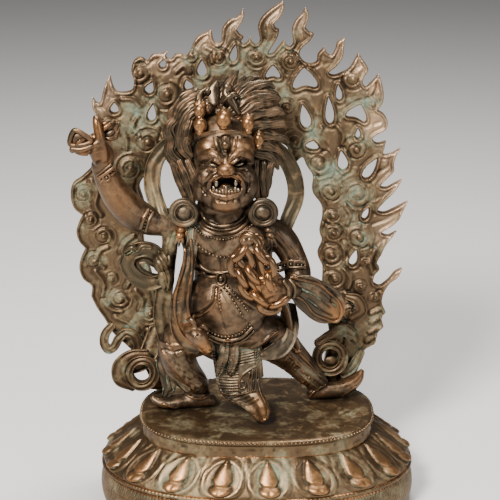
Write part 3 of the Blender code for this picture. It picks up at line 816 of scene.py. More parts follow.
@dataclass
class Foundry:
    """Turns castings into dressed objects."""

    cell: float = 0.8
    look_out: float = 1.3
    # How a level surface counts, the weight of other surface close by, and from where that weighs.
    proud_rule: tuple[float, float, float] = (0.5, -0.5, 0.5)
    # The hollow rule's weight of nearby surface darkens crowded places with painted shade as well as greening them.
    hollow_and_shade_rule: tuple[float, float, float] = (0.25, 0.75, 0.35)
    # How quickly a polished place fades, and how soon a proud point takes its polish.
    hand_fade: float = 0.8
    hand_catch: float = 1.5
    # Where hands have polished the metal: px, py, y, reach and share.
    handled: tuple[Row, ...] = (
        (122, 194, -6, 8, 0.4), (98, 128, -9, 3.2, 0.8), (103, 152, -8, 4, 0.5), (206, 149, -8, 3.2, 0.6),
        (246, 148, -8, 3.2, 0.6), (226, 169.6, -12, 2.8, 0.7), (207, 350, -13, 4, 0.9),
        (260, 408, -13, 6, 0.75), (339, 312, -2, 4.4, 0.8), (186, 330, -8, 6, 0.45), (262, 288, -13, 7, 0.5),
        (226, 203, -10, 4, 0.4), (180, 233, -4, 2.6, 0.8),
        (176, 290, -8, 4.5, 0.4), (185, 338, -5, 5, 0.35), (213, 309, -13, 6, 0.3), (355, 372, 6, 6, 0.45),
        (200.2, 125, -7.4, 3.6, 0.8), (223.6, 120, -9.4, 4.2, 0.8), (247.8, 124, -7.4, 3.4, 0.8),
        (258.4, 140, -3.8, 3.2, 0.6), (199.8, 110, -6.2, 3.2, 0.6), (212, 147, -10, 3.4, 0.35),
        (238, 147, -10, 3.4, 0.35),
    )
    castings: list[Casting] = field(default_factory=list)
    materials: dict[str, bpy.types.Material] = field(default_factory=dict)

    def crowding(self) -> Callable[[Array], Array]:
        """Measures how much surface lies near any place.

        Returns:
            A function from points to the surface near them, 1 beside a flat wall.
        """
        places, weights = [], []
        for casting in self.castings:
            _, area = casting.shape.areas()
            places.append(casting.shape.points)
            weights.append(area)
        place, weight = np.concatenate(places), np.concatenate(weights)
        low = place.min(0) - 6 * self.cell
        counts = np.ceil((place.max(0) + 6 * self.cell - low) / self.cell).astype(int)
        index = ((place - low) / self.cell).astype(int)
        grid = np.bincount(np.ravel_multi_index(index.T, counts), weight, counts.prod()).reshape(counts)
        for axis in range(3):
            for _ in range(2):
                grid = 0.5 * grid + 0.25 * (np.roll(grid, 1, axis) + np.roll(grid, -1, axis))

        def near(points: Array) -> Array:
            """Reads the grid.

            Args:
                points: Places in millimetres.

            Returns:
                The surface near each place.
            """
            cell = (points - low) / self.cell - 0.5
            base = np.clip(np.floor(cell).astype(int), 0, counts - 2)
            part = np.clip(cell - base, 0, 1)
            total = np.zeros(len(points))
            for corner in np.ndindex(2, 2, 2):
                at = base + corner
                share = np.prod(np.where(np.array(corner) == 1, part, 1 - part), axis=1)
                total += share * grid[at[:, 0], at[:, 1], at[:, 2]]
            return total / self.cell**2

        return near

    def wear(self, casting: Casting, normal: Array, near: Callable[[Array], Array]) -> dict[str, Array]:
        """Works out where a casting is rubbed, where its hollows green and darken with painted shade, and where hands
        have polished it; at the flame tips that polish carries a painted highlight.

        Args:
            casting: The casting.
            normal: The way that each of its points faces.
            near: How much surface lies near any place.

        Returns:
            The values of its points by the names of their attributes, from 0 to 1.
        """
        points = casting.shape.points
        lift = casting.wear_gain * ((points - casting.shape.settled(casting.wear_reach)) * normal).sum(1)
        crowd = near(points + normal * self.look_out)
        # Concave and crowded points score as hollow: green patina there, and painted shade where deepest.
        proud, hollow = (
            level + way * lift + weight * np.clip(crowd - start, 0, 1)
            for way, (level, weight, start) in ((1, self.proud_rule), (-1, self.hollow_and_shade_rule))
        )
        handled = np.zeros(len(proud)) if casting.polish is None else casting.polish
        for px, py, y, reach, share in self.handled:
            far = np.linalg.norm(points - PHOTO.place(px, py, y), axis=1) / reach
            handled = np.maximum(handled, share * bump(far * self.hand_fade) * np.clip(self.hand_catch * proud, 0, 1))
        return {"proud": np.clip(proud, 0, 1), "hollow": np.clip(hollow, 0, 1), "handled": handled}

    def pour(self) -> None:
        """Makes every casting's object, with its wear, its finish and its place in the frame."""
        near = self.crowding()
        for casting in self.castings:
            mesh = casting.shape.to_mesh(casting.name)
            mesh.shade_smooth()
            normal = np.empty(len(mesh.vertices) * 3)
            mesh.vertices.foreach_get("normal", normal)
            for name, values in self.wear(casting, normal.reshape(-1, 3), near).items():
                mesh.attributes.new(name, "FLOAT", "POINT").data.foreach_set("value", values.astype(np.float32))
            if casting.finish.name not in self.materials:
                self.materials[casting.finish.name] = casting.finish.build()
            mesh.materials.append(self.materials[casting.finish.name])
            item = bpy.data.objects.new(casting.name, mesh)
            bpy.context.scene.collection.objects.link(item)
            node, slot = casting.node.value
            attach(item, BODY)
            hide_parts(node)


# Geometry Nodes for what repeats along a line


def row_tree(name: str) -> bpy.types.NodeTree:
    """Builds the Geometry Nodes tree that repeats a form along a line.

    Args:
        name: What the tree is called.

    Returns:
        The tree, with the inputs Line, Unit, Spacing, Roll and Finish.
    """
    tree = bpy.data.node_groups.new(name, "GeometryNodeTree")
    tree.interface.new_socket("Row", in_out="OUTPUT", socket_type="NodeSocketGeometry")
    inputs = {"Line": "Geometry", "Unit": "Object", "Spacing": "Float", "Roll": "Float", "Finish": "Material"}
    for title, kind in inputs.items():
        tree.interface.new_socket(title, in_out="INPUT", socket_type=f"NodeSocket{kind}")
    board, given = Board(tree), tree.nodes.new("NodeGroupInput")
    line, unit, spacing, roll, finish = (Wire(board, given.outputs[title]) for title in inputs)
    curve = board.add("GeometryNodeMeshToCurve", {"Mesh": line})
    spaced = board.add("GeometryNodeResampleCurve", {"Curve": curve, "Length": spacing}, mode="LENGTH")
    tangent, out, index = (board.add(f"GeometryNodeInput{kind}", {}) for kind in ("Tangent", "Normal", "Index"))
    axes = {"Primary Axis": tangent, "Secondary Axis": out}
    heading = board.add("FunctionNodeAxesToRotation", axes, primary_axis="X", secondary_axis="Z")
    turn = board.add("FunctionNodeAxisAngleToRotation", {"Axis": (1, 0, 0), "Angle": index * roll})
    turned = board.add("FunctionNodeRotateRotation", {"Rotation": heading, "Rotate By": turn}, rotation_space="LOCAL")
    form = board.add("GeometryNodeObjectInfo", {"Object": unit}, "Geometry")
    placed = board.add("GeometryNodeInstanceOnPoints", {"Points": spaced, "Instance": form, "Rotation": turned})
    real = board.add("GeometryNodeRealizeInstances", {"Geometry": placed})
    dressed = board.add("GeometryNodeSetMaterial", {"Geometry": real, "Material": finish})
    board.feed(tree.nodes.new("NodeGroupOutput"), "Row", dressed)
    return tree


def repeat_along(name: str, path: Array, unit: Shape, spacing: float, closed: bool, roll: float = 0.0) -> Shape:
    """Repeats a small form along a line with Geometry Nodes.

    Args:
        name: What the row is called.
        path: Points of the line.
        unit: The form, with its length along x and its front towards z.
        spacing: Distance from one to the next.
        closed: Whether the line is a loop.
        roll: Turn about the line between one and the next, in degrees.

    Returns:
        The row as one shape.
    """
    tree = row_tree(name)
    form = bpy.data.objects.new(f"{name}_unit", unit.to_mesh(f"{name}_unit"))
    thread = bpy.data.meshes.new(f"{name}_line")
    ends = [(i, (i + 1) % len(path)) for i in range(len(path) if closed else len(path) - 1)]
    thread.from_pydata((path * MM).tolist(), ends, [])
    item = bpy.data.objects.new(name, thread)
    for made in (form, item):
        bpy.context.scene.collection.objects.link(made)
    modifier = item.modifiers.new("row", "NODES")
    modifier.node_group = tree
    finish = bpy.data.materials.new(f"{name}_plain")
    values = {"Unit": form, "Spacing": spacing * MM, "Roll": math.radians(roll), "Finish": finish}
    for socket in tree.interface.items_tree:
        if socket.in_out == "INPUT" and socket.name in values:
            modifier[socket.identifier] = values[socket.name]
    mesh = bpy.data.meshes.new_from_object(item.evaluated_get(bpy.context.evaluated_depsgraph_get()))
    row = Shape.from_mesh(mesh)
    for spent in (item, form):
        bpy.data.objects.remove(spent)
    bpy.data.meshes.remove(mesh)
    bpy.data.materials.remove(finish)
    return row


# Lotus base


@dataclass
class LotusBase(SubAssembly):
    """Foot, incised band, cord, petals and plinth."""

    box: tuple[Array, Array]
    petals: int = 20
    plan_power: float = 2.25
    plinth_half: tuple[float, float] = (33.5, 23.0)
    foot: float = 1.4
    band: float = 10.6
    cord: float = 1.4
    rise: float = 9.8
    wall: float = 4.8
    bulge: float = 1.2
    overhang: float = 0.8
    boss: float = 2.5
    cuts: int = 230
    bead: tuple[float, float, float] = (0.52, 0.42, 0.56)
    bead_pitch: float = 1.15
    band_points: int = 1300
    cord_points: int = 1200
    petal_points: int = 960
    petal_rows: int = 74
    # The dish of a petal: height, share of its oval and half width.
    petal_dish: tuple[Row, ...] = ((1.0, 0, 1.14), (-1.3, 0, 0.84), (0.34, 0.92, 0.17))
    # Half width, middle and half height of its oval, of the curl at its tip and of the boss's lobe.
    petal_oval: Row = (0.94, 0.46, 0.50)
    petal_tip: Row = (0.26, 0.74, 0.32)
    petal_lobe: Row = (0.47, 0.23, 0.155)
    plinth_points: int = 720
    finish: BronzeFinish = BronzeFinish(
        "base_patina", brown=(0.116, 0.073, 0.038), rubbed=0.70, greened=0.50, mottled=0.60, gloss=0.42, grain=0.6,
        green=(0.150, 0.198, 0.132), copper=(0.280, 0.122, 0.046), rust=(0.270, 0.130, 0.048),
    )

    @property
    def half(self) -> tuple[float, float]:
        """Half width and half depth under the petals."""
        low, high = self.box
        return float(high[0] - low[0]) / 2 - self.bulge, float(high[1] - low[1]) / 2 - self.bulge

    def ring(
        self,
        half: tuple[float, float],
        height: Array | float,
        count: int,
        out: Array | float = 0.0,
        corner: float = 0.0,
    ) -> Array:
        """Draws a ring on the base's oval plan.

        Args:
            half: Half width and half depth.
            height: Height of its points.
            count: How many points it has.
            out: How far its points are pushed outwards.
            corner: How much squarer it is than the base.

        Returns:
            The ring's points.
        """
        power = self.plan_power + corner
        angle = 2 * np.pi * np.arange(count) / count
        c, s = np.cos(angle), np.sin(angle)
        reach = (np.abs(c) ** power + np.abs(s) ** power) ** (-1 / power)
        return np.stack((c * (half[0] * reach + out), s * (half[1] * reach + out), np.broadcast_to(height, count)), 1)

    def band_shape(self) -> Shape:
        """Makes the foot and the rounded band with its slanting cuts.

        Returns:
            The shape.
        """
        a, b = self.half
        count = self.band_points
        angle = 2 * np.pi * np.arange(count) / count
        heights = [(0.0, 1.6), (0.15, 1.45), (0.9 * self.foot, 1.3), (self.foot, 1.15)]
        rings = [self.ring((a - inset * self.bulge, b - inset * self.bulge), z, count) for z, inset in heights]
        rows = 44
        for k in range(1, rows + 1):
            t = k / rows
            out = self.bulge * (math.sin(math.pi * min(1, 0.08 + 0.92 * t)) ** 0.7 * 1.25 - 0.3)
            row = math.floor(t * 3 * 0.9999)
            inside = t * 3 - row
            lean = 1 if row % 2 else -1
            wave = (angle / (2 * np.pi) * self.cuts + lean * inside * 0.9 + 0.3 * np.sin(angle * 23 + row)) % 1
            cut = -0.30 * bump((wave - 0.5) / 0.24) * bump(np.array((inside - 0.5) / 0.55))
            cut -= 0.12 * (abs(inside - 0.5) > 0.46)
            rings.append(self.ring((a, b), self.foot + self.band * t, count,
                                   np.minimum(out + cut, self.bulge - 0.05)))
        return Shape().loft(np.array(rings))

    def cord_shape(self) -> Shape:
        """Makes the twisted cord that edges the petals.

        Returns:
            The shape.
        """
        count = self.cord_points
        low = self.foot + self.band
        angle = 2 * np.pi * np.arange(count) / count
        rings = []
        for k in range(13):
            turn = math.pi * (k / 12 - 0.5)
            strand = 1 - 0.22 * np.abs(np.sin(0.5 * (angle * self.cuts + 2 * turn))) ** 5
            out = self.bulge * (-0.15 + 0.85 * math.cos(turn) * strand)
            rings.append(self.ring(self.half, low + self.cord * (0.5 + 0.52 * math.sin(turn)), count, out))
        return Shape().loft(np.array(rings))

    def petal_relief(self, across: Array, up: float) -> tuple[Array, Array]:
        """Measures one petal's relief.

        Args:
            across: Distance from its middle, -1 to 1 at its neighbours' middles.
            up: Height on the slope, 0 at the cord and 1 at the plinth.

        Returns:
            How far out the dished petal stands, and how far its boss.
        """
        s = across * 2
        forms = ((s, self.petal_oval), (1 - np.abs(s), self.petal_tip), (s, self.petal_lobe))
        oval, tip, lobe = (
            np.sqrt((aside / wide) ** 2 + ((up - middle) / tall) ** 2) for aside, (wide, middle, tall) in forms
        )
        relief = ridges(oval, self.petal_dish) + 0.5 * bump(tip)
        lobe = 0.95 * np.sqrt(np.clip(1 - lobe**2, 0, 1))
        climb = min(max((up - 0.33) / 0.60, 0), 1)
        wide = 0.46 * min(1.0, 0.66 + climb * 1.6) * (1 - climb**2.1) ** 0.8 + 1e-6
        dome = (1 - climb) ** 0.3 * min(1.0, 0.72 + climb * 2) * np.sqrt(np.clip(1 - (s / wide) ** 2, 0, 1))
        dome *= climb > 0
        boss = np.maximum(lobe, dome) - 0.12 * bump(s / 0.12) * bump(np.array((up - 0.22) / 0.1))
        return relief, boss

    def petal_shape(self) -> tuple[Shape, Array]:
        """Makes the ring of dished petals, each with its lobed boss.

        Returns:
            The shape, and how polished each of its points is.
        """
        a, b = self.half
        pa, pb = self.plinth_half
        count, rows = self.petal_points, self.petal_rows
        low = self.foot + self.band + self.cord
        turn = np.arange(count) / count * self.petals
        across = (turn + 0.25) % 1 - 0.5
        rings, polish = [], []
        for k in range(-6, rows + 3):
            up = k / rows
            share = min(max(up, 0), 1)
            blend = share**1.25
            half = (a + (pa - a) * blend, b + (pb - b) * blend)
            relief, boss = self.petal_relief(across, share)
            fade = min(1, max(0, (up + 0.02) / 0.06)) * min(1, max(0, (1.02 - up) / 0.1))
            out = (relief + self.boss * boss) * fade * 1.05 + (0.1 if k >= 0 else 0.9 * up * 14)
            rings.append(self.ring(half, low + self.rise * up + 0.25 * relief * fade, count, out * 0.8))
            polish.append(0.75 * np.clip(1.6 * boss - 0.5, 0, 1))
        inner = [self.ring((pa - 4, pb - 4), low + self.rise * 1.02, count), self.ring((pa - 6, pb - 6), low, count)]
        return Shape().loft(np.array(rings + inner)), np.concatenate((*polish, np.zeros(2 * count + 2)))

    @property
    def top(self) -> float:
        """Height of the plinth's top."""
        return self.foot + self.band + self.cord + self.rise + self.wall

    def plinth_shape(self) -> Shape:
        """Makes the oval plinth, with a shallow wall and a level top.

        Returns:
            The shape.
        """
        pa, pb = self.plinth_half
        count, top = self.plinth_points, self.top
        low = top - self.wall
        foot = ((2.5, -1.4), (0.3, -1.2), (-0.14, -0.5), (-0.14, 0), (-0.06, 0.8), (0.04, 1.8), (0.04, 2.8),
                (0.0, 3.5))
        profile = [(inset, low + up) for inset, up in foot]
        for turn in np.radians((-70, -35, 0, 35, 70)):
            profile.append((-self.overhang * 0.75 * math.cos(turn), top - 0.95 + 0.75 * math.sin(turn)))
        profile += [(0.5, top - 0.12), (0.9, top - 0.02), (1.6, top)]
        profile += [(pb * share, top) for share in (0.13, 0.25, 0.37, 0.5, 0.62, 0.74, 0.84, 0.92, 0.97, 0.995)]
        angle = 2 * np.pi * np.arange(count) / count
        rings = []
        for inset, z in profile:
            wall = np.clip((top - 1.8 - z) / 1.0, 0, 1) * (z > low - 0.1)
            rough = 0.26 * np.sin(41 * angle + 2 * np.sin(13 * angle + z)) * np.sin(17 * angle + 1.3 * z)
            rings.append(self.ring((pa - inset, pb - inset), z, count, wall * rough, 0.35))
        return Shape().loft(np.array(rings))

    def rim_beads(self) -> Shape:
        """Makes the row of beads along the plinth's top edge.

        Returns:
            The shape.
        """
        pa, pb = self.plinth_half
        line = self.ring((pa + 0.52, pb + 0.52), self.top - 0.72, 400, corner=0.35)
        return repeat_along("plinth_beads", line, Shape().blob((0, 0, 0), self.bead, sides=12), self.bead_pitch, True)

    def pieces(self) -> Iterator[Casting]:
        """Makes the base's pieces.

        Returns:
            The castings, one after the other.
        """
        for name, shape, reach, gain in (
            ("base_band", self.band_shape(), 10, 5.0),
            ("base_cord", self.cord_shape(), 8, 2.0),
            ("plinth", self.plinth_shape().join(self.rim_beads()), 5, 1.6),
        ):
            yield Casting(name, shape, self.finish, Node.BASE, reach, gain)
        petals, polish = self.petal_shape()
        yield Casting("lotus_petals", petals, self.finish, Node.BASE, 34, 1.4, polish)


# Flame aureole


@dataclass
class FlameAureole(SubAssembly):
    """The pierced plate of flames, with raised edges, spiral bosses and rolled feet."""

    front: float = 16.3
    thickness: float = 2.2
    side_lean: float = 2.2
    mesh_step: float = 0.36
    floor: float = 28.3
    # Carved profiles: height, distance from the line and half width, in millimetres.
    rim: tuple[Row, ...] = ((0.42, 0.42, 0.42), (-0.3, 1.2, 0.6), (-0.35, 0, 0.22))
    hole_rim: tuple[Row, ...] = ((0.55, 0.5, 0.5), (-0.3, 1.45, 0.6), (-0.2, 0, 0.2))
    tongue_groove: tuple[Row, ...] = ((-0.5, 0, 0.8),)
    lick_ridge: tuple[Row, ...] = ((0.55, 0, 0.75), (-0.28, 1.1, 0.45))
    # The same for the spiral bosses, as shares of their radius, with how far a groove climbs in a turn.
    curl_groove: tuple[Row, ...] = ((-0.75, 0.46, 0.13),)
    curl_arm: tuple[Row, ...] = ((0.35, 1.32, 0.16), (-0.45, 1.12, 0.12))
    curl_climb: tuple[float, float] = (0.5, 0.62)
    curl_reach: float = 1.95
    curl_turn: float = 0.21
    curl_dome: tuple[float, float] = (0.7, 1.1)
    curl_knob: tuple[float, float] = (0.1, 0.36)
    middle_px: float = 225
    finish: BronzeFinish = BronzeFinish(
        "aureole_patina", brown=(0.108, 0.069, 0.038), rubbed=0.84, greened=0.50, mottled=0.85, gloss=0.48, grain=0.9,
        green=(0.135, 0.190, 0.140), copper=(0.230, 0.126, 0.064), rust=(0.310, 0.160, 0.052),
        # Pale colour of the flame tips: rubbed metal with a painted highlight.
        polished=(0.42, 0.29, 0.19),
    )
    # Strength and reach of the pale tips: rubbed polish with a painted highlight.
    tip_polish_and_highlight_share: float = 0.8
    tip_reach: float = 7.5
    # Outline, in pixels. A third number marks a corner.
    left_side: tuple[Row, ...] = (
        (172, 383, 1), (152, 383, 1), (147, 372), (140, 358), (128, 346), (113, 332), (105, 318), (97, 306),
        (91.6, 295, 1),
        (92, 285), (84, 278), (80, 268), (81, 258), (86, 247, 1), (80, 240), (77, 231), (79, 222), (83, 214, 1),
        (75, 207),
        (71.5, 196), (73, 183), (82, 176), (92, 166), (99, 150), (100, 132), (97, 116), (93, 108),
    )
    top_left: tuple[Row, ...] = (
        (92.4, 97, 1), (96, 102), (100, 103), (103, 92), (106, 83), (110, 74.5, 1), (112, 83.6), (116, 91),
        (124, 92.5), (132, 90),
        (134, 80), (131.5, 70), (134, 61), (140.5, 57.5), (147, 61.5, 1), (153, 54.5), (159, 55), (167.4, 51.5, 1),
        (166, 58),
        (171, 59.5), (175, 55, 1), (181, 54.5), (185, 57), (190, 51.5), (193, 44), (198, 37), (204, 34),
        (211, 30.5, 1), (212, 36),
        (213.5, 41.5), (217, 44.5), (221, 42.5), (221.5, 36), (222.4, 29), (228, 21.5), (236, 18), (240, 14.5),
        (243, 9.5, 1),
        (244, 18), (240, 26), (236.5, 31, 1), (239.5, 35), (243.5, 38), (241, 42), (243, 45.5), (247.5, 42.5),
        (250, 37.4, 1),
    )
    top_right: tuple[Row, ...] = (
        (252, 43), (256.8, 45.4), (260, 41), (259, 34), (258, 27.5), (261, 19.5), (268.5, 11.5), (277, 5.5),
        (283, 1.2, 1), (284.2, 9),
        (280, 18.5), (274, 24.8, 1), (275.5, 28.8), (279, 30.2), (277.4, 38), (272.4, 46.4), (268.3, 54.6),
        (272.6, 54.6),
        (278, 48.5), (284.6, 40.5, 1), (286.5, 46), (290.6, 47.6), (293.6, 43), (292.4, 36), (292.2, 30), (296, 21),
        (301.6, 15),
        (305.6, 8, 1), (309, 14), (308, 22), (305.6, 28.7, 1), (309, 32.4), (313.8, 34.6), (310, 41.6), (303, 47.6),
        (299.6, 54.5),
        (303, 61.6), (310, 64.6), (317, 62.2), (318, 55.5), (324.8, 47.6, 1), (327, 53.6), (332, 55.8), (335.6, 50),
        (337.6, 43),
        (345.2, 38.2, 1), (344, 48), (342.8, 58), (336.6, 66.6), (329, 73.6), (334, 76), (341.6, 73.4), (349, 69.4),
        (354, 62),
        (358.6, 53.4, 1), (362.4, 59.6), (368.4, 69.6), (364.6, 76.6), (362.6, 83), (366, 87.4), (370.4, 83.6),
        (375, 79.2),
    )
    right_side: tuple[Row, ...] = (
        (378.8, 74.2, 1), (382, 84), (383.6, 94), (382.6, 103), (377.6, 110.6, 1), (384, 114.6), (387.8, 122.6),
        (385.6, 130),
        (377, 134.6), (372.4, 139), (377, 143.6), (386, 141.4, 1), (384.4, 147.6), (383.4, 154.6), (391, 154),
        (400.6, 148.6, 1),
        (396.6, 155), (394, 163), (393.6, 171.5), (387, 178.6), (380.2, 186.6), (386.6, 187.6), (394, 184),
        (401.7, 180, 1),
        (397, 188), (391, 195), (384, 202), (377.8, 210.8), (384.6, 212.6), (395, 208), (407.6, 201.4, 1),
        (402.6, 211), (399, 219),
        (391, 226.6), (381.4, 233), (387.6, 235.6), (396.6, 231.4, 1), (390.6, 239), (385, 246.6), (381.6, 254),
        (377, 263.6),
        (379.6, 269), (374.4, 276), (373.6, 283), (379.6, 286), (388, 280), (395, 272), (402, 268.4, 1), (398, 276.6),
        (389, 284),
        (383.6, 293), (382, 303), (385.6, 312.6, 1), (381.6, 318), (383.6, 327, 1), (377.8, 333), (375, 343),
        (366, 349),
        (361, 357), (358, 370), (352, 383, 1),
    )
    inside_right: tuple[Row, ...] = (
        (318, 383, 1), (322, 370), (326, 352), (329, 334), (325, 312), (322, 290), (322.4, 267), (317.6, 254.5),
        (322, 242),
        (319.6, 232), (322.4, 218), (321.6, 206), (312.6, 192), (313, 177), (306.6, 166), (302.4, 158), (295, 162.6),
        (289, 156),
        (286.6, 147), (270, 140), (246, 136),
    )
    inside_left: tuple[Row, ...] = (
        (220, 136), (190, 139), (166.6, 148), (160, 154), (151, 162), (153, 171), (144, 177), (139.6, 186),
        (143.6, 201),
        (146, 216), (143.6, 232), (145.6, 252), (152, 275), (157, 300), (160, 330), (164, 366),
    )
    # Pierced drops and hearts: px, py, half width, half height, lean to the right in degrees.
    drops: tuple[Row, ...] = (
        (202, 69, 5.2, 8.4, 0), (163, 64, 3.4, 4.6, 20), (150, 88, 4.6, 6.2, 25), (152, 113, 4.4, 8.6, 8),
        (114.6, 107.6, 4.6, 5.4, 0),
        (188, 85.6, 4.6, 5.2, -20), (234, 54, 3.8, 8.6, 12), (305, 117, 5.6, 12.2, -12), (339, 93, 3.4, 8.0, -6),
        (329.6, 111, 4.6, 13.6, -4), (358, 133.6, 2.8, 5.0, 0), (312.6, 146, 7.2, 4.6, 12),
        (342.6, 161, 5.4, 9.8, -8),
        (371, 168, 5.2, 12.4, 34), (366, 213.4, 3.2, 6.4, 24), (354, 258, 4.2, 8.4, 16),
    )
    hearts: tuple[Row, ...] = ((273, 74, 7.2, 7.8, 0), (305, 81, 12.2, 12.4, -4), (357.6, 114, 10.4, 9.4, 18))
    # Spiral bosses: px, py, radius.
    spirals: tuple[Row, ...] = (
        (140, 73, 9), (192, 56, 6), (219, 58, 8), (256, 58, 8), (290, 62, 8.5), (166.6, 94.5, 11), (147, 142, 11),
        (130, 168, 10),
        (287, 108, 7.5), (294, 142, 7.5), (319, 165, 10.5), (352, 79, 8.5), (355.6, 150, 10.5), (330, 191.5, 9.5),
        (357.5, 194, 11.5),
        (332.5, 216, 8), (333, 233, 8.5), (358, 237, 11), (331, 255, 8.5), (334, 279, 10.5), (360.5, 286, 6),
        (374, 297, 5),
        (103.6, 235, 8), (94, 259, 7.5), (120.6, 298, 8.5), (150, 313, 7.5), (91, 218, 6.5), (84, 193, 7),
        (350, 312, 7),
        (124, 262, 6), (112, 277, 5.5), (372, 104, 5), (366, 262, 5), (330, 320, 5.5),
    )
    # Lines that run up into the flames.
    tongues: tuple[tuple[Row, ...], ...] = (
        ((219, 50), (226, 38), (229, 28), (240, 15)), ((256, 50), (265, 38), (265, 25), (281, 6)),
        ((290, 54), (299, 42), (299, 26), (304, 13)), ((325, 64), (333, 62), (338, 52), (343, 43)),
        ((352, 71), (360, 66), (358, 58)), ((366, 100), (375, 92), (378, 79)), ((374, 124), (380, 122)),
        ((378, 172), (388, 166), (390, 158), (398, 151)), ((372, 200), (384, 194), (399, 182)),
        ((372, 224), (386, 219), (398, 212), (405, 204)), ((372, 248), (382, 240), (394, 233)),
        ((372, 296), (380, 288), (392, 279), (400, 270)), ((192, 50), (198, 43), (208, 33)),
        ((140, 63), (152, 61), (164, 54)), ((103, 108), (98, 105), (93, 99)), ((110, 96), (108, 88), (110, 78)),
    )

    # Short ridges between the curls.
    licks: tuple[tuple[Row, ...], ...] = (
        ((108, 246), (101, 249), (98, 258), (104, 266)), ((134, 236), (126, 242), (122, 251)),
        ((140, 268), (133, 276), (127, 286)),
        ((96, 270), (104, 282), (103, 294)), ((136, 290), (143, 300), (141, 309)),
        ((92, 180), (98, 190), (96, 204), (102, 214)),
        ((107, 120), (118, 125), (126, 136), (127, 148)), ((138, 116), (133, 127), (139, 134)),
        ((122, 98), (133, 100), (140, 106)),
        ((176, 72), (184, 66), (190, 72)), ((174, 108), (180, 116), (178, 128)), ((160, 118), (166, 128), (162, 140)),
        ((206, 48), (214, 52), (212, 62)),
        ((346, 294), (353, 299), (357, 307), (353, 317), (346, 326)),
        ((339, 342), (342, 334), (350, 332), (354, 340)), ((371, 313), (379, 309)),
        ((371, 322), (380, 317)), ((369, 332), (379, 327)), ((366, 341), (375, 336)),
        ((342, 174), (336, 180), (341, 186)), ((345, 206), (350, 214), (347, 224)),
        ((344, 243), (343, 252), (346, 264)), ((366, 226), (372, 234), (370, 244)),
        ((374, 250), (370, 260), (372, 272)), ((322, 128), (318, 138), (324, 148)),
        ((337, 126), (343, 134), (342, 144)), ((274, 94), (280, 100), (276, 110)), ((310, 48), (303, 56), (306, 64)),
        ((374, 86), (370, 96), (374, 100)),
        ((116, 316), (128, 322), (138, 332)), ((104, 300), (112, 308), (122, 310)),
        ((148, 330), (152, 342), (149, 352)), ((345, 270), (350, 278), (348, 288)),
    )

    def lean(self, x: Array) -> Array:
        """How far forward the plate comes at its sides."""
        return self.side_lean * (x / 50) ** 2

    def flat(self, points: Iterable[Row]) -> Array:
        """Reads pixels as x and z on the plate."""
        return np.array([PHOTO.place(row[0], row[1], self.front - 0.6)[[0, 2]] for row in points])

    def outline(self) -> Array:
        """Draws the plate's closed outline.

        Returns:
            Rows of x and z.
        """
        rows = (*self.left_side, *self.top_left, *self.top_right, *self.right_side, *self.inside_right,
                *self.inside_left)
        corners = [i for i, row in enumerate(rows) if len(row) == 3]
        return spline(self.flat(rows), 0.42, corners, closed=True)

    def hole(self, row: Row, heart: bool) -> Array:
        """Draws one pierced opening.

        Args:
            row: Its middle, half width, half height and lean.
            heart: Whether it is a heart, point up, and not a drop.

        Returns:
            Rows of x and z.
        """
        px, py, wide, tall, lean = row
        turn = 2 * np.pi * np.arange(36) / 36
        if heart:
            across = wide * np.sin(turn) * (1 - 0.45 * np.cos(turn)) * np.abs(np.sin(turn / 2)) ** 0.35
            up = tall * np.cos(turn) + 0.5 * tall * np.clip(-np.cos(turn), 0, 1) ** 6
        else:
            across = 1.25 * wide * np.sin(turn) * np.abs(np.sin(turn / 2)) ** 1.2
            up = tall * np.cos(turn)
        c, s = math.cos(math.radians(lean)), math.sin(math.radians(lean))
        return self.flat(np.stack((px + across * c + up * s, py - (up * c - across * s)), 1))

    @staticmethod
    def within(outline: Array, places: Array) -> Array:
        """Finds what lies in a closed outline.

        Args:
            outline: Rows of x and z.
            places: Rows of x and z.

        Returns:
            Whether each place lies inside.
        """
        ahead = np.roll(outline, -1, 0)
        hit = np.zeros(len(places), bool)
        low, high = outline.min(0), outline.max(0)
        near = np.nonzero(((places >= low) & (places <= high)).all(1))[0]
        for start in range(0, len(near), 4000):
            part = near[start:start + 4000]
            x, z = places[part, 0][:, None], places[part, 1][:, None]
            spans = (outline[:, 1] > z) != (ahead[:, 1] > z)
            rise = np.where(ahead[:, 1] == outline[:, 1], 1.0, ahead[:, 1] - outline[:, 1])
            cross = x < (ahead[:, 0] - outline[:, 0]) * (z - outline[:, 1]) / rise + outline[:, 0]
            hit[part] = (spans & cross).sum(1) % 2 == 1
        return hit

    @staticmethod
    def gap(places: Array, line: Array, reach: float) -> Array:
        """Measures how near places are to a line.

        Args:
            places: Rows of x and z.
            line: Points of the line.
            reach: The farthest that is measured.

        Returns:
            Each place's distance, or reach where it is farther.
        """
        result = np.full(len(places), reach)
        low, high = line.min(0) - reach, line.max(0) + reach
        near = np.nonzero(((places >= low) & (places <= high)).all(1))[0]
        for start in range(0, len(near), 3000):
            part = near[start:start + 3000]
            far = np.linalg.norm(places[part][:, None] - line[None], axis=2).min(1)
            result[part] = np.minimum(far, reach)
        return result

    def relief(self, places: Array, outline: Array, holes: list[Array]) -> Array:
        """Measures the modelling of the plate's front.

        Args:
            places: x and z of the front's points.
            outline: The plate's outline.
            holes: The pierced openings.

        Returns:
            How far forward of the plate's face each place stands.
        """
        x, z = places.T
        height = 0.12 * np.sin(0.31 * x + 1.3 * np.sin(0.23 * z)) + 0.1 * np.sin(0.43 * z + 0.2 * x)
        height += ridges(self.gap(places, outline, 2.0), self.rim)
        for hole in holes:
            height += ridges(self.gap(places, hole, 2.4), self.hole_rim)
        for index, row in enumerate(self.spirals):
            near, curl = self.curl(x, z, self.curl_turn * (index % 4), row)
            height[near] += curl
        for lines, reach, profile in ((self.tongues, 1.0, self.tongue_groove), (self.licks, 1.6, self.lick_ridge)):
            for line in lines:
                height += ridges(self.gap(places, spline(self.flat(line), 0.3), reach), profile)
        return height

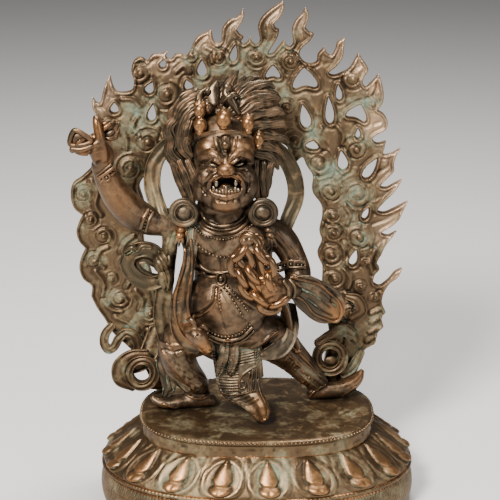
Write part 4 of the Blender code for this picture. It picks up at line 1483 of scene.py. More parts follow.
    def curl(self, x: Array, z: Array, turned: float, row: Row) -> tuple[Array, Array]:
        """Measures one spiral boss.

        Args:
            x: The places' x.
            z: The places' z.
            turned: How far its spiral is turned, in whole turns.
            row: Its px, py and radius in pixels.

        Returns:
            Which places it reaches, and how far it stands out at each of them.
        """
        px, py, radius = row
        middle = self.flat(((px, py), (px + radius, py)))
        size = abs(middle[1, 0] - middle[0, 0])
        dx, dz = (x - middle[0, 0]) / size, (z - middle[0, 1]) / size
        share = np.hypot(dx, dz)
        near = share < self.curl_reach
        share, dx, dz = share[near], dx[near], dz[near]
        handed = 1 if px > self.middle_px else -1
        way = (handed * np.arctan2(dz, dx) / (2 * np.pi) + turned) % 1
        groove, arm = (share - climb * way for climb in self.curl_climb)
        (rise, broad), (aside, small) = self.curl_dome, self.curl_knob
        knob = np.hypot(dx - aside, dz - aside)
        domed = rise * np.sqrt(np.clip(1 - (share / broad) ** 4, 0, 1))
        domed += np.sqrt(np.clip(1 - (knob / small) ** 2, 0, 1))
        return near, domed + ridges(groove, self.curl_groove) + (1 - way) * ridges(arm, self.curl_arm)

    def plate(self) -> tuple[Shape, Shape]:
        """Makes the pierced plate.

        Returns:
            Its modelled front with its edges, and its plain back.
        """
        outline = self.outline()
        holes = [self.hole(row, False) for row in self.drops] + [self.hole(row, True) for row in self.hearts]
        loops = [outline, *holes]
        rim_points = np.concatenate(loops)
        edges, first = [], 0
        for loop in loops:
            edges += [(first + i, first + (i + 1) % len(loop)) for i in range(len(loop))]
            first += len(loop)

        def fill(step: float) -> tuple[Array, Array]:
            """Fills the outline with triangles.

            Args:
                step: Their size.

            Returns:
                Rows of x and z, and the triangles.
            """
            low, high = outline.min(0), outline.max(0)
            columns = np.arange(low[0], high[0], step)
            levels = np.arange(low[1], high[1], step * 0.866)
            grid = np.stack(np.meshgrid(columns, levels), -1)
            grid[1::2, :, 0] += step / 2
            grid = grid.reshape(-1, 2)
            grid = grid[self.within(outline, grid)]
            grid = grid[self.gap(grid, outline, step) > 0.6 * step]
            for hole in holes:
                grid = grid[~self.within(hole, grid)]
                grid = grid[self.gap(grid, hole, step) > 0.6 * step]
            places = np.concatenate((rim_points, grid))
            found = geometry.delaunay_2d_cdt([Vector(p) for p in places], edges, [], 0, 1e-6)
            points = np.array([p[:] for p in found[0]])
            faces = np.array([face for face in found[2] if len(face) == 3])
            middle = points[faces].mean(1)
            kept = self.within(outline, middle)
            for hole in holes:
                kept &= ~self.within(hole, middle)
            return points, faces[kept]

        front, front_faces = fill(self.mesh_step)
        back, back_faces = fill(1.3)
        rise = self.relief(front, outline, holes)
        forward = self.front - self.lean(front[:, 0]) - rise
        front_points = np.stack((front[:, 0], forward, front[:, 1]), 1)
        behind = self.front + self.thickness - self.lean(back[:, 0]) + 0.15 * bump(self.gap(back, outline, 2.0) / 1.5)
        back_points = np.stack((back[:, 0], behind, back[:, 1]), 1)
        border, ahead = (np.array(edges)[:, k] for k in (0, 1))
        offset, total = len(front_points), len(rim_points)
        walls = np.stack((border, ahead, offset + ahead, offset + border), 1)
        face = Shape().add(np.concatenate((front_points, back_points[:total])), quads=walls, tris=front_faces)
        return face, Shape().add(back_points, tris=back_faces[:, ::-1])

    def feet(self) -> Shape:
        """Makes the rolled scrolls, straps and curls that carry the plate down to the plinth.

        Returns:
            The shape.
        """
        shape = Shape()
        turn = 2 * np.pi * np.arange(16) / 16

        for px, py, radius, depth, roll in ((142, 372.4, 13.4, 8.0, 1.35), (330, 357, 13.6, 12.6, 1.4)):
            for reach, y, size, section, sides, step in (
                (radius, depth, (roll, 1.5), Section.CLOTH, 28, 0.5),
                (radius - 2.4, depth + 1.8, (1.0, 1.4), Section.ROUND, 14, 0.6),
            ):
                ring = [(px + reach * math.cos(a), py - reach * math.sin(a), y, *size) for a in turn]
                shape.sweep(seen(ring), section, sides, step, closed=True)
        straps = (
            ((158, 330, 14, 3.0, 1.2), (150, 350, 12.4, 3.0, 1.2), (142, 362, 10.6, 2.6, 1.2),
             (128, 369, 9.2, 1.8, 1.1)),
            ((147, 354, 9, 1.7, 1.1), (131, 356, 8.6, 2.0, 1.2), (119.6, 366, 8.2, 2.2, 1.2),
             (120, 379, 8.2, 2.0, 1.2), (133, 386.6, 9, 1.3, 1.2)),
            ((150, 384, 10, 1.4, 1.2), (160, 383, 11, 2.0, 1.2), (168, 381, 13, 2.2, 1.2)),
            ((156, 362, 11, 1.8, 1.2), (161, 372, 12, 2.2, 1.3), (168, 381, 13.4, 2.2, 1.3)),
            ((136, 357, 14, 1.5, 1.2), (139, 345, 14.2, 1.6, 1.2), (134, 335, 14.2, 1.5, 1.2),
             (126, 332, 14.2, 1.4, 1.2), (119, 338, 14.2, 1.4, 1.1),
             (114, 346.6, 14.2, 1.4, 1.1), (108.6, 349, 14.4, 1.4, 1.1), (104.4, 343, 14.6, 1.4, 1.1),
             (105.4, 334, 14.8, 1.4, 1.1), (112, 325, 15, 1.2, 1.0)),
            ((352, 318, 15, 1.7, 1.2), (361, 310, 14.2, 1.8, 1.2), (357, 299, 14, 1.6, 1.2),
             (348, 296, 14.4, 1.1, 1.0)),
            ((352, 334, 15, 1.9, 1.2), (343, 329, 14, 2.1, 1.3), (331, 336, 13, 2.0, 1.3),
             (318, 344, 12.4, 1.7, 1.2)),
            ((342, 372, 13.6, 2.0, 1.3), (352, 366, 14.6, 1.8, 1.2), (361, 352, 15.4, 1.2, 1.0)),
            ((336, 370, 14, 2.6, 1.3), (334, 377, 14.6, 2.8, 1.4), (334, 382, 15, 3.0, 1.4)),
            ((322, 366, 13.6, 1.6, 1.2), (323, 374, 14.6, 2.0, 1.3), (326, 382, 15.4, 2.2, 1.3)),
        )
        shape.sweeps(map(seen, straps), Section.CLOTH, 26, 0.5)
        shape.blob(PHOTO.place(331, 361, 14.0), (2.1, 0.8, 1.6), sides=30)
        shape.points[:, 2] = np.maximum(shape.points[:, 2], self.floor)
        return shape

    def tip_polish_and_highlight(self, shape: Shape) -> Array:
        """How pale each point of the plate is painted at the flames' tips: rubbed polish with a painted highlight.

        Args:
            shape: The plate's face.

        Returns:
            The polish and painted highlight of each of its points, from 0 to 1.
        """
        tips = self.flat([line[-1] for line in self.tongues])
        far = np.linalg.norm(shape.points[:, None, [0, 2]] - tips[None], axis=2).min(1)
        return self.tip_polish_and_highlight_share * bump(far / self.tip_reach)

    def pieces(self) -> Iterator[Casting]:
        """Makes the aureole.

        Returns:
            The castings, one after the other.
        """
        face, back = self.plate()
        yield Casting("flame_plate", face, self.finish, Node.AUREOLE, 34, 0.8, self.tip_polish_and_highlight(face))
        yield Casting("flame_plate_back", back, self.finish, Node.AUREOLE, 2, 0.4)
        yield Casting("aureole_feet", self.feet(), self.finish, Node.AUREOLE, 14, 1.4)


# Figure


FIGURE_AT = np.array((0.0, 3.5, 28.2))

SKIN = BronzeFinish(
    "bare_skin", brown=(0.064, 0.042, 0.026), rubbed=0.66, greened=0.16, mottled=0.34, gloss=0.40, grain=0.42
)
CAST_CLOTH = BronzeFinish(
    "cast_cloth", brown=(0.060, 0.045, 0.029), rubbed=0.78, greened=0.44, mottled=0.5, gloss=0.42, grain=0.4
)
CAST_JEWELS = BronzeFinish(
    "cast_jewels", brown=(0.082, 0.058, 0.036), rubbed=0.80, greened=0.36, mottled=0.3, gloss=0.38
)
CAST_HAIR = BronzeFinish(
    "cast_hair", brown=(0.060, 0.043, 0.026), rubbed=0.84, greened=0.28, mottled=0.25, gloss=0.42, grain=0.25
)
CAST_SCARF = BronzeFinish(
    "cast_scarf", brown=(0.072, 0.055, 0.032), rubbed=0.80, greened=0.42, mottled=0.6, gloss=0.46,
    green=(0.150, 0.165, 0.095),
)
WORN_METAL = BronzeFinish(
    "worn_metal", brown=(0.104, 0.068, 0.038), rubbed=0.74, greened=0.44, mottled=0.3, gloss=0.38
)
IVORY_METAL = BronzeFinish(
    "pale_metal", brown=(0.215, 0.172, 0.118), rubbed=0.86, greened=0.26, mottled=0.2, gloss=0.36, grain=0.2
)


def seen(rows: Iterable[Row]) -> list[Row]:
    """Turns rows of pixel column, pixel row, y and sizes into rows of a place and sizes."""
    return [(*PHOTO.place(*row[:3]), *row[3:]) for row in rows]


def on_grid(rows: Iterable[Row]) -> list[Row]:
    """Turns rows on the figure's own grid into rows in the model's frame."""
    return [(*(np.array(row[:3]) + FIGURE_AT), *row[3:]) for row in rows]


def drape(shape: Shape, points: Iterable[Row], lift: float = 0.0, closed: bool = False) -> Array:
    """Lays a line drawn on the photograph on the front of a shape.

    Args:
        shape: The shape.
        points: Pixels along the line.
        lift: How far off the shape the line floats.
        closed: Whether the line is a loop.

    Returns:
        Places along the line.
    """
    line = spline([row[:2] for row in points], 1.2, closed=closed)
    pixels = PHOTO.pixels(shape.points)
    nearness = shape.points @ PHOTO.towards
    depths, depth = [], 0.0
    for place in line:
        near = np.nonzero(np.abs(pixels - place).max(1) < 1.5)[0]
        if len(near):
            depth = shape.points[near[nearness[near].argmax()], 1]
        depths.append(depth)
    wide = np.pad(depths, 3, mode="wrap" if closed else "edge")
    soft = np.convolve(wide, np.ones(7) / 7, "valid")
    return np.array([PHOTO.place(*place, y) for place, y in zip(line, soft)]) + PHOTO.towards * lift


def cord_on(shape: Shape, points: Iterable[Row], radius: float, lift: float = 0.1, closed: bool = False) -> Shape:
    """Lays a round cord on a shape."""
    path = drape(shape, points, lift, closed)
    return Shape().sweep([(*place, radius) for place in path[::2]], sides=10, step=0.5, closed=closed)


def beads_on(name: str, shape: Shape, points: Iterable[Row], radius: float, pitch: float) -> Shape:
    """Lays a string of beads on a shape."""
    bead = Shape().blob((0, 0, 0), (radius, radius, radius), sides=10)
    return repeat_along(name, drape(shape, points, radius * 0.45), bead, pitch, closed=False)


@dataclass
class Head(SubAssembly):
    """The wrathful face under its crown of five skulls."""

    voxel: float = 0.25
    # px, py, y and three radii of the skull and the jaw, and the crown of the head behind in millimetres.
    skull: tuple[Row, ...] = ((224.4, 153.5, 0.3, 8.7, 9.0, 11.0),)
    jaw: tuple[Row, ...] = ((225.6, 183.5, -3.2, 7.2, 6.4, 6.2),)
    scalp: tuple[Row, Row] = ((-8.5, 4.0, 114.2), (9.3, 6.0, 6.6))
    # px, py, y, three radii and a turn.
    forms: tuple[Row, ...] = (
        (210.5, 148.5, -6.0, 4.3, 3.8, 4.0, -14), (239.5, 147.5, -6.0, 4.3, 3.8, 4.0, 14),
        (220.5, 173, -9.5, 1.6, 1.4, 1.2, 0),
        (232, 172.5, -9.5, 1.6, 1.4, 1.2, 0), (207.5, 176, -6.8, 3.2, 2.9, 3.0, -20),
        (244, 175, -6.8, 3.2, 2.9, 3.0, 20),
        (226, 201.8, -8.4, 4.4, 3.4, 3.2, 0), (226, 199, -4.8, 6.6, 5.2, 3.6, 0),
        (212.6, 192, -4.4, 3.9, 5.2, 4.2, -14), (239.6, 191.4, -4.4, 3.9, 5.2, 4.2, 14),
        (226, 197, -3.6, 5.8, 5.6, 3.6, 0),
        (196, 170, 0.4, 1.5, 2.2, 4.4, 0), (254, 170, 0.4, 1.5, 2.2, 4.4, 0), (202, 184, -3.6, 2.6, 4.2, 5.0, 6),
        (249, 183, -3.6, 2.6, 4.2, 5.0, -6),
        (225.5, 142, -7.9, 1.7, 1.2, 2.6, 0), (226.4, 171.6, -10.0, 2.3, 2.1, 1.7, 0),
    )
    # px, py, y and radius.
    folds: tuple[tuple[Row, ...], ...] = (
        ((225.4, 165, -10.6, 1.1), (219.5, 159, -10.6, 1.6), (212, 154.5, -9.8, 1.7), (204, 156, -8.2, 1.5),
         (198, 163, -5.2, 0.9)),
        ((226.6, 165, -10.6, 1.1), (232.4, 158.5, -10.6, 1.6), (239.4, 153.5, -9.8, 1.7), (246.6, 155, -8.2, 1.5),
         (252, 162, -5.2, 0.9)),
        ((226, 158, -9.2, 1.2), (226, 166, -10.4, 1.5), (226.3, 171, -10.4, 2.0)),
        ((220.4, 173.6, -10.2, 1.0), (215.4, 175.4, -10.1, 1.3), (210.8, 179.6, -9.5, 1.35), (209.2, 188, -8.8, 1.0)),
        ((231.6, 173.4, -10.2, 1.0), (236.8, 175, -10.1, 1.3), (241.2, 179, -9.4, 1.35), (242.8, 188, -8.7, 1.0)),
        ((210.2, 187, -9.0, 0.9), (213, 192.6, -9.8, 1.0), (219, 195.8, -10.5, 1.1), (226, 196.8, -10.8, 1.15),
         (233, 195.8, -10.5, 1.1),
         (239, 192.2, -9.7, 1.0), (241.8, 187, -8.9, 0.9)),
        ((204, 166, -6.4, 0.8), (210, 169.5, -8.2, 0.9), (217, 169, -9.2, 0.8)),
        ((249, 165, -6.4, 0.8), (243, 168.5, -8.2, 0.9), (235.5, 168.5, -9.2, 0.8)),
    )
    nose: tuple[Row, ...] = (
        (226.2, 170, -11.7, 2.5, 2.0, 1.9), (226, 164.6, -10.5, 1.6, 1.6, 2.4), (221.4, 172.2, -10.8, 1.4, 1.4, 1.15),
        (231.2, 171.8, -10.8, 1.4, 1.4, 1.15),
    )
    # How tall the lower teeth are, where the first stands and how far apart they are, in pixels.
    lower_teeth: tuple[float, ...] = (1.5, 1.0, 0.8, 1.1, 1.75, 0.9, 0.8, 1.5, 1.1)
    first_tooth: float = 213.6
    tooth_pitch: float = 3.1
    fangs: tuple[Row, ...] = ((216.4, 183.4, -9.9, 0.55, 0.5, 1.1), (235.8, 182.8, -9.9, 0.55, 0.5, 1.1))
    tongue_and_eyes: tuple[Row, ...] = (
        (226, 188.4, -8.6, 2.6, 1.8, 0.7), (214.4, 165.0, -8.8, 1.55, 0.8, 0.5, 12),
        (238.2, 164.2, -8.8, 1.55, 0.8, 0.5, -12),
    )
    # px, py, y, half width of each skull and how high its finial stands, in pixels.
    skulls: tuple[Row, ...] = (
        (187.4, 141, -2.6, 1.7, 7), (200.2, 126.6, -6.4, 1.8, 3), (199.8, 112.4, -5.4, 1.6, 10),
        (223.6, 121.4, -8.2, 2.1, 9), (247.8, 125.4, -6.4, 1.75, 6),
        (258.4, 141, -2.8, 1.65, 6),
    )

    def wrinkles(self) -> list[Stroke]:
        """Draws the lines of the face.

        Returns:
            Their strokes.
        """
        lines = [
            Stroke(((216.4, 183.4), (221, 181), (226, 180.2), (231, 181), (236, 182.8)), 5.0, -2.7),
            Stroke(((214.4, 188.6), (226, 190.6), (237.8, 188.4)), 4.0, -1.5),
            Stroke(((219, 179), (233, 179)), 3.0, -0.9),
            Stroke(((207, 161.5), (214, 158.8), (222, 164)), 1.5, -0.5),
            Stroke(((246, 160.5), (239, 157.8), (231, 163)), 1.5, -0.5),
            Stroke(((208, 164.4), (214, 167), (221.6, 165.4)), 1.3, -0.4),
            Stroke(((245, 163.4), (239, 166.4), (231.4, 165)), 1.3, -0.4),
            Stroke(((210, 163.6), (215, 161), (220.6, 164.4)), 1.0, 0.25),
            Stroke(((243, 162.8), (238, 160.4), (232.6, 164)), 1.0, 0.25),
            Stroke(((219.5, 136), (221, 146), (224, 155)), 1.5, -0.4),
            Stroke(((231.5, 136), (230.5, 146), (227.5, 155)), 1.5, -0.4),
            Stroke(((225.7, 150), (225.7, 161)), 1.3, -0.45),
            Stroke(((214, 137), (216.5, 147), (222, 156)), 1.2, -0.3),
            Stroke(((237, 137), (235.5, 146), (229.5, 156)), 1.2, -0.3),
            Stroke(((217, 173), (211, 176), (205.5, 184), (204, 192)), 1.5, -0.55),
            Stroke(((235, 173), (241.5, 175.5), (246.5, 184), (247.6, 192)), 1.5, -0.55),
            Stroke(((200, 177), (202, 187), (206, 195)), 1.4, -0.4),
            Stroke(((251, 176), (249.6, 187), (245, 195)), 1.4, -0.4),
            Stroke(((217, 200.4), (226, 202), (235, 200.4)), 1.3, -0.4),
            Stroke(((226, 196), (226, 203.5)), 1.1, 0.3), Stroke(((219, 196.5), (218.4, 202)), 1.0, -0.3),
            Stroke(((233.4, 196.5), (234, 202)), 1.0, -0.3),
            Stroke(((220, 168), (213, 171.5), (207, 171)), 1.2, -0.4),
            Stroke(((233, 167.5), (240, 170.5), (246, 170)), 1.2, -0.4),
        ]
        for k in range(4):
            lines.append(Stroke(((221 - 4.4 * k, 162.5 - 1.4 * k), (218.4 - 4.4 * k, 157 - 0.8 * k)), 1.1, -0.16))
            lines.append(Stroke(((231 + 4.4 * k, 162 - 1.4 * k), (233.4 + 4.4 * k, 156.5 - 0.8 * k)), 1.1, -0.16))
        for side, ex, ey in ((-1, 212.4, 180), (1, 240, 178.6)):
            turn = np.linspace(0, 4.2 * math.pi, 30)
            curl = [(ex + side * (3.4 - 0.24 * t) * math.cos(t), ey - (3.4 - 0.24 * t) * math.sin(t)) for t in turn]
            lines.append(Stroke(curl, 0.8, 0.22))
        return lines

    def face(self) -> Shape:
        """Makes the whole head in one skin, with its lines cut.

        Returns:
            The shape.
        """
        raw = Shape().blobs(self.skull, 48).blobs(self.jaw, 40).blob(*self.scalp, sides=40)
        skin = raw.blobs(self.forms).sweeps(map(seen, self.folds), Section.ROUND, 14, 0.4).fuse(self.voxel, 3)
        engrave(skin, self.wrinkles())
        nose = Shape().blobs(self.nose, 26).fuse(0.16, 3)
        engrave(nose, [Stroke(((222.6, 173.6),), 1.3, -0.5), Stroke(((230.0, 173.4),), 1.3, -0.5)])
        return skin.join(nose)

    def teeth(self) -> Shape:
        """Makes the teeth with their fangs, the tongue and the eyes.

        Returns:
            The shape.
        """
        shape = Shape()
        for k, tall in enumerate(self.lower_teeth):
            px = self.first_tooth + self.tooth_pitch * k
            bow = 1 - ((px - 226) / 14) ** 2
            shape.blob(PHOTO.place(px, 193 + 1.2 * bow - 1.6 * tall, -9.6 - bow), (0.52, 0.5, tall), sides=12)
        return shape.blobs(self.fangs, 12).blobs(self.tongue_and_eyes, 20)

    def crown(self) -> tuple[Shape, Shape]:
        """Makes the crown.

        Returns:
            The skulls with their finials, and the brow band with the knotted snake and the jewels.
        """
        shape, jewels = Shape(), Shape()
        band = ((190, 148, 0, 0.5, 0.5), (198, 137, -6, 0.55, 0.5), (211, 133, -9, 0.6, 0.5),
                (225, 132, -9.9, 0.6, 0.5),
                (239, 133, -9, 0.6, 0.5), (250, 137, -6, 0.55, 0.5), (257, 148, 0, 0.5, 0.5))
        jewels.sweep(seen(band), Section.CLOTH, 24, 0.4)
        for px, py, y, wide, tall in self.skulls:
            shape.blob(PHOTO.place(px, py - 1.4, y), (wide, wide * 0.95, wide * 1.2), sides=30)
            shape.blob(PHOTO.place(px, py + 5.2, y - 0.2), (wide * 0.64, wide * 0.7, wide * 0.7), sides=22)
            for lean, share in ((0, 1.0), (-2.6, 0.68), (2.6, 0.68)):
                reach = tall * share
                rows = ((px + lean * 0.5, py - 6, y + 0.4, wide * 0.62, 0.6),
                        (px + lean * 1.15, py - 6 - reach * 0.4, y + 0.8, wide * 0.66, 0.55),
                        (px + lean * 0.9, py - 6 - reach * 0.75, y + 1.2, wide * 0.36, 0.4),
                        (px + lean * 1.1, py - 6 - reach, y + 1.5, 0.14, 0.14))
                shape.sweep(seen(rows), Section.BLADE, 16, 0.35)
        engrave(shape, [
            Stroke(((px + dx * wide, py + dy * wide),), size * wide, -0.5 * size)
            for px, py, _, wide, _ in self.skulls
            for dx, dy, size in ((-1.3, 0.2, 0.95), (1.3, 0.2, 0.95), (0, 1.7, 0.5))
        ])
        for rows in (
            ((227.5, 88, -1.4, 1.35), (225.6, 93.6, -2.4, 1.15), (230, 98.6, -3.0, 1.3), (234.6, 106.4, -3.4, 1.05),
             (238.6, 113, -3.6, 0.5)),
            ((222, 102, -2.6, 0.7), (228, 97.4, -3.4, 0.9), (234, 94.6, -3.0, 0.8), (238, 96, -2.2, 0.4)),
            ((206, 88.6, 0.2, 0.35), (199.6, 95, -1.4, 0.85), (198.4, 103, -2.4, 1.1), (201.2, 111, -3.6, 0.9)),
            ((210, 108, -2.6, 0.5), (207.6, 104.6, -3.2, 1.1), (206.6, 101, -3.0, 0.6)),
        ):
            jewels.sweep(seen(rows), sides=16, step=0.4)
        for px, py, y, radius in ((227.4, 88.4, -1.8, 1.4), (207.6, 91.4, -0.6, 0.9), (208, 108.4, -3.4, 1.25),
                                  (225.2, 145.4, -9.7, 1.0)):
            jewels.blob(PHOTO.place(px, py, y), (radius, radius * 0.8, radius * 1.25), sides=20)
        jewels.sweep(seen(((214.4, 104, -1.0, 1.5, 0.6), (213, 93, 0.2, 2.0, 0.6), (217.4, 79.5, 1.6, 0.25, 0.3))),
                     Section.BLADE, 20, 0.4)
        trefoil = ((225.2, 137, -9.4, 0.5, 0.4), (225.2, 141, -9.6, 1.0, 0.45), (225.2, 146, -9.2, 1.25, 0.45),
                   (225.2, 151, -9.6, 0.3, 0.3))
        return shape, jewels.sweep(seen(trefoil), Section.CLOTH, 22, 0.3)

    def pieces(self) -> Iterator[Casting]:
        """Makes the head's pieces.

        Returns:
            The castings, one after the other.
        """
        yield Casting("face", self.face(), SKIN, Node.FIGURE, 16, 1.9)
        yield Casting("teeth_and_eyes", self.teeth(), IVORY_METAL, Node.FIGURE, 6, 2.0)
        skulls, jewels = self.crown()
        yield Casting("crown_skulls", skulls, WORN_METAL, Node.FIGURE, 8, 1.6)
        yield Casting("crown_jewels", jewels, CAST_JEWELS, Node.FIGURE, 8, 1.5)


@dataclass
class Hair(SubAssembly):
    """Windswept locks: bundled on the left, flying to the right and up."""

    # px, py, y and radius.
    locks: tuple[tuple[Row, ...], ...] = (
        ((206, 97, 2, 2.4), (193, 101, 1.4, 2.5), (182, 109, 1, 2.3), (177, 119, 0.8, 1.9), (170.4, 128, 0.8, 2.0),
         (173.6, 139, 0.8, 2.0),
         (171.6, 149, 0.6, 1.8), (178, 158, 0.2, 1.5), (187, 163, 0, 0.8)),
        ((206, 106, 0.4, 2.3), (194, 111, -0.6, 2.3), (185, 122, -1.2, 2.0), (181.4, 135, -1.2, 2.0),
         (182.6, 147, -1.2, 1.8), (190, 158, -1.6, 0.9)),
        ((184, 104, 2.6, 1.6), (173, 113, 2.6, 1.7), (172, 122, 2.6, 1.5), (167.4, 132, 2.6, 1.5),
         (170.6, 142, 2, 1.6), (168.4, 153, 1.4, 1.5),
         (174, 162, 0.8, 1.4), (181, 168, 0.2, 0.9)),
        ((196, 93, 3, 1.7), (185, 98, 3, 2.0), (177, 108, 2.6, 1.6), (171.4, 118, 2.4, 0.7)),
        ((190, 122, -2.2, 1.4), (186.6, 133, -2.6, 1.5), (187.4, 146, -2.8, 1.4), (192, 156, -3.0, 0.6)),
        ((180, 161, -0.3, 1.2), (186, 175, -1.2, 1.5), (190.4, 190, -2, 1.4), (193, 202, -2.6, 0.8)),
        ((188, 161, -1.6, 1.1), (193, 174, -2.6, 1.25), (196, 188, -3.2, 1.1), (197.6, 199, -3.6, 0.7)),
        ((173.6, 163, 0.8, 1.3), (178.6, 178, 0.2, 1.4), (184, 192, -0.8, 1.2), (188, 203, -1.8, 0.7)),
        ((255.6, 161, -1.4, 1.1), (254.6, 175, -2.4, 1.25), (256, 189, -3.0, 1.1), (258, 199, -3.2, 0.7)),
        ((263, 163, 0, 1.2), (261.6, 177, -0.7, 1.4), (262.6, 190, -1.6, 1.2), (264.4, 200, -2, 0.7)),
        ((272, 159, 1, 1.3), (268.4, 173, 0.5, 1.5), (266.6, 187, -0.3, 1.1), (267, 196, -0.8, 0.5)),
        ((231, 109, 2.2, 2.6), (238, 93, 2.6, 2.6), (246, 84, 3.2, 1.5), (253, 78, 3.6, 1.0), (260, 77, 3.8, 0.4)),
        ((235, 108, 1.4, 2.5), (247, 92, 2.2, 2.7), (259, 86, 3.0, 1.8), (268, 84.6, 3.6, 1.2),
         (274, 87.4, 3.8, 0.5)),
        ((233, 112, 0.4, 2.8), (246, 100, 1.4, 3.0), (262, 95.4, 2.4, 2.3), (274, 96, 3.2, 1.6),
         (279, 98.4, 3.6, 0.7)),
        ((240, 114, -0.6, 2.0), (254, 104.6, 0.8, 2.4), (266, 103.0, 2.0, 1.6), (276, 104.6, 3.0, 0.5)),
        ((238, 121, -0.2, 2.6), (254, 113.4, 1.0, 2.5), (268, 112.4, 2.0, 1.7), (277, 110.6, 2.6, 1.5),
         (282.6, 113.6, 3.0, 0.7)),
        ((243, 129, -0.6, 2.3), (258, 124.6, 0.8, 2.4), (271, 124, 1.8, 1.7), (280, 123.4, 2.4, 1.45),
         (285.4, 127, 2.8, 0.7)),
        ((248, 137, -0.6, 2.1), (262, 135, 0.6, 2.3), (274, 136.4, 1.6, 1.65), (283, 137.6, 2.2, 1.35),
         (288, 142.4, 2.6, 0.6)),
        ((252, 145, -0.6, 1.9), (265, 145, 0.4, 2.2), (274, 148.4, 1.3, 1.5), (281, 152.4, 1.8, 1.1),
         (284.6, 158.4, 2.0, 0.5)),
        ((256, 152, -0.4, 1.8), (266, 154.6, 0.4, 1.9), (274, 160, 0.9, 1.5), (278, 168.6, 1.2, 0.5)),
        ((221, 105, 1.4, 2.6), (225, 94, 2.2, 2.3), (231, 82, 3.2, 1.5), (238, 71, 4.4, 0.4)),
        ((227, 103, 2.6, 2.2), (237, 88, 3.4, 1.8), (245, 77, 4.2, 0.5)),
        ((209, 106, 1.4, 2.4), (211, 97, 2.2, 2.2), (219, 87, 3.0, 1.4), (228, 77, 4.2, 0.4)),
        ((200, 107, 1.4, 2.2), (203, 97, 2.6, 1.9), (212, 88, 3.6, 0.6)),
    )

    def pieces(self) -> Iterator[Casting]:
        """Makes the hair.

        Returns:
            The castings, one after the other.
        """
        shape = Shape()
        for rows in self.locks:
            shape.sweep(seen([(*row[:3], 0.9 * row[3]) for row in rows]), Section.STRANDS, 60, 0.42)
        shape.blob(PHOTO.place(223, 140, 1.0), (8.6, 8.8, 8.6), sides=70)
        for k in range(6):
            x = -18.5 + 3.9 * k
            bow = 0.5 * (x + 8.7)
            rows = ((-8.7 + bow * 0.6, 2.6, 93, 2.4), (x, 4.2, 85, 2.9), (x - 0.6, 4.4, 75, 2.8),
                    (x + 0.8, 4.0, 67, 2.4), (x - 0.2, 2.8, 61, 0.8))
            shape.sweep(on_grid(rows), Section.STRANDS, 50, 0.6, (0, 1, 0))
        yield Casting("hair_locks", shape, CAST_HAIR, Node.FIGURE, 5, 3.2)


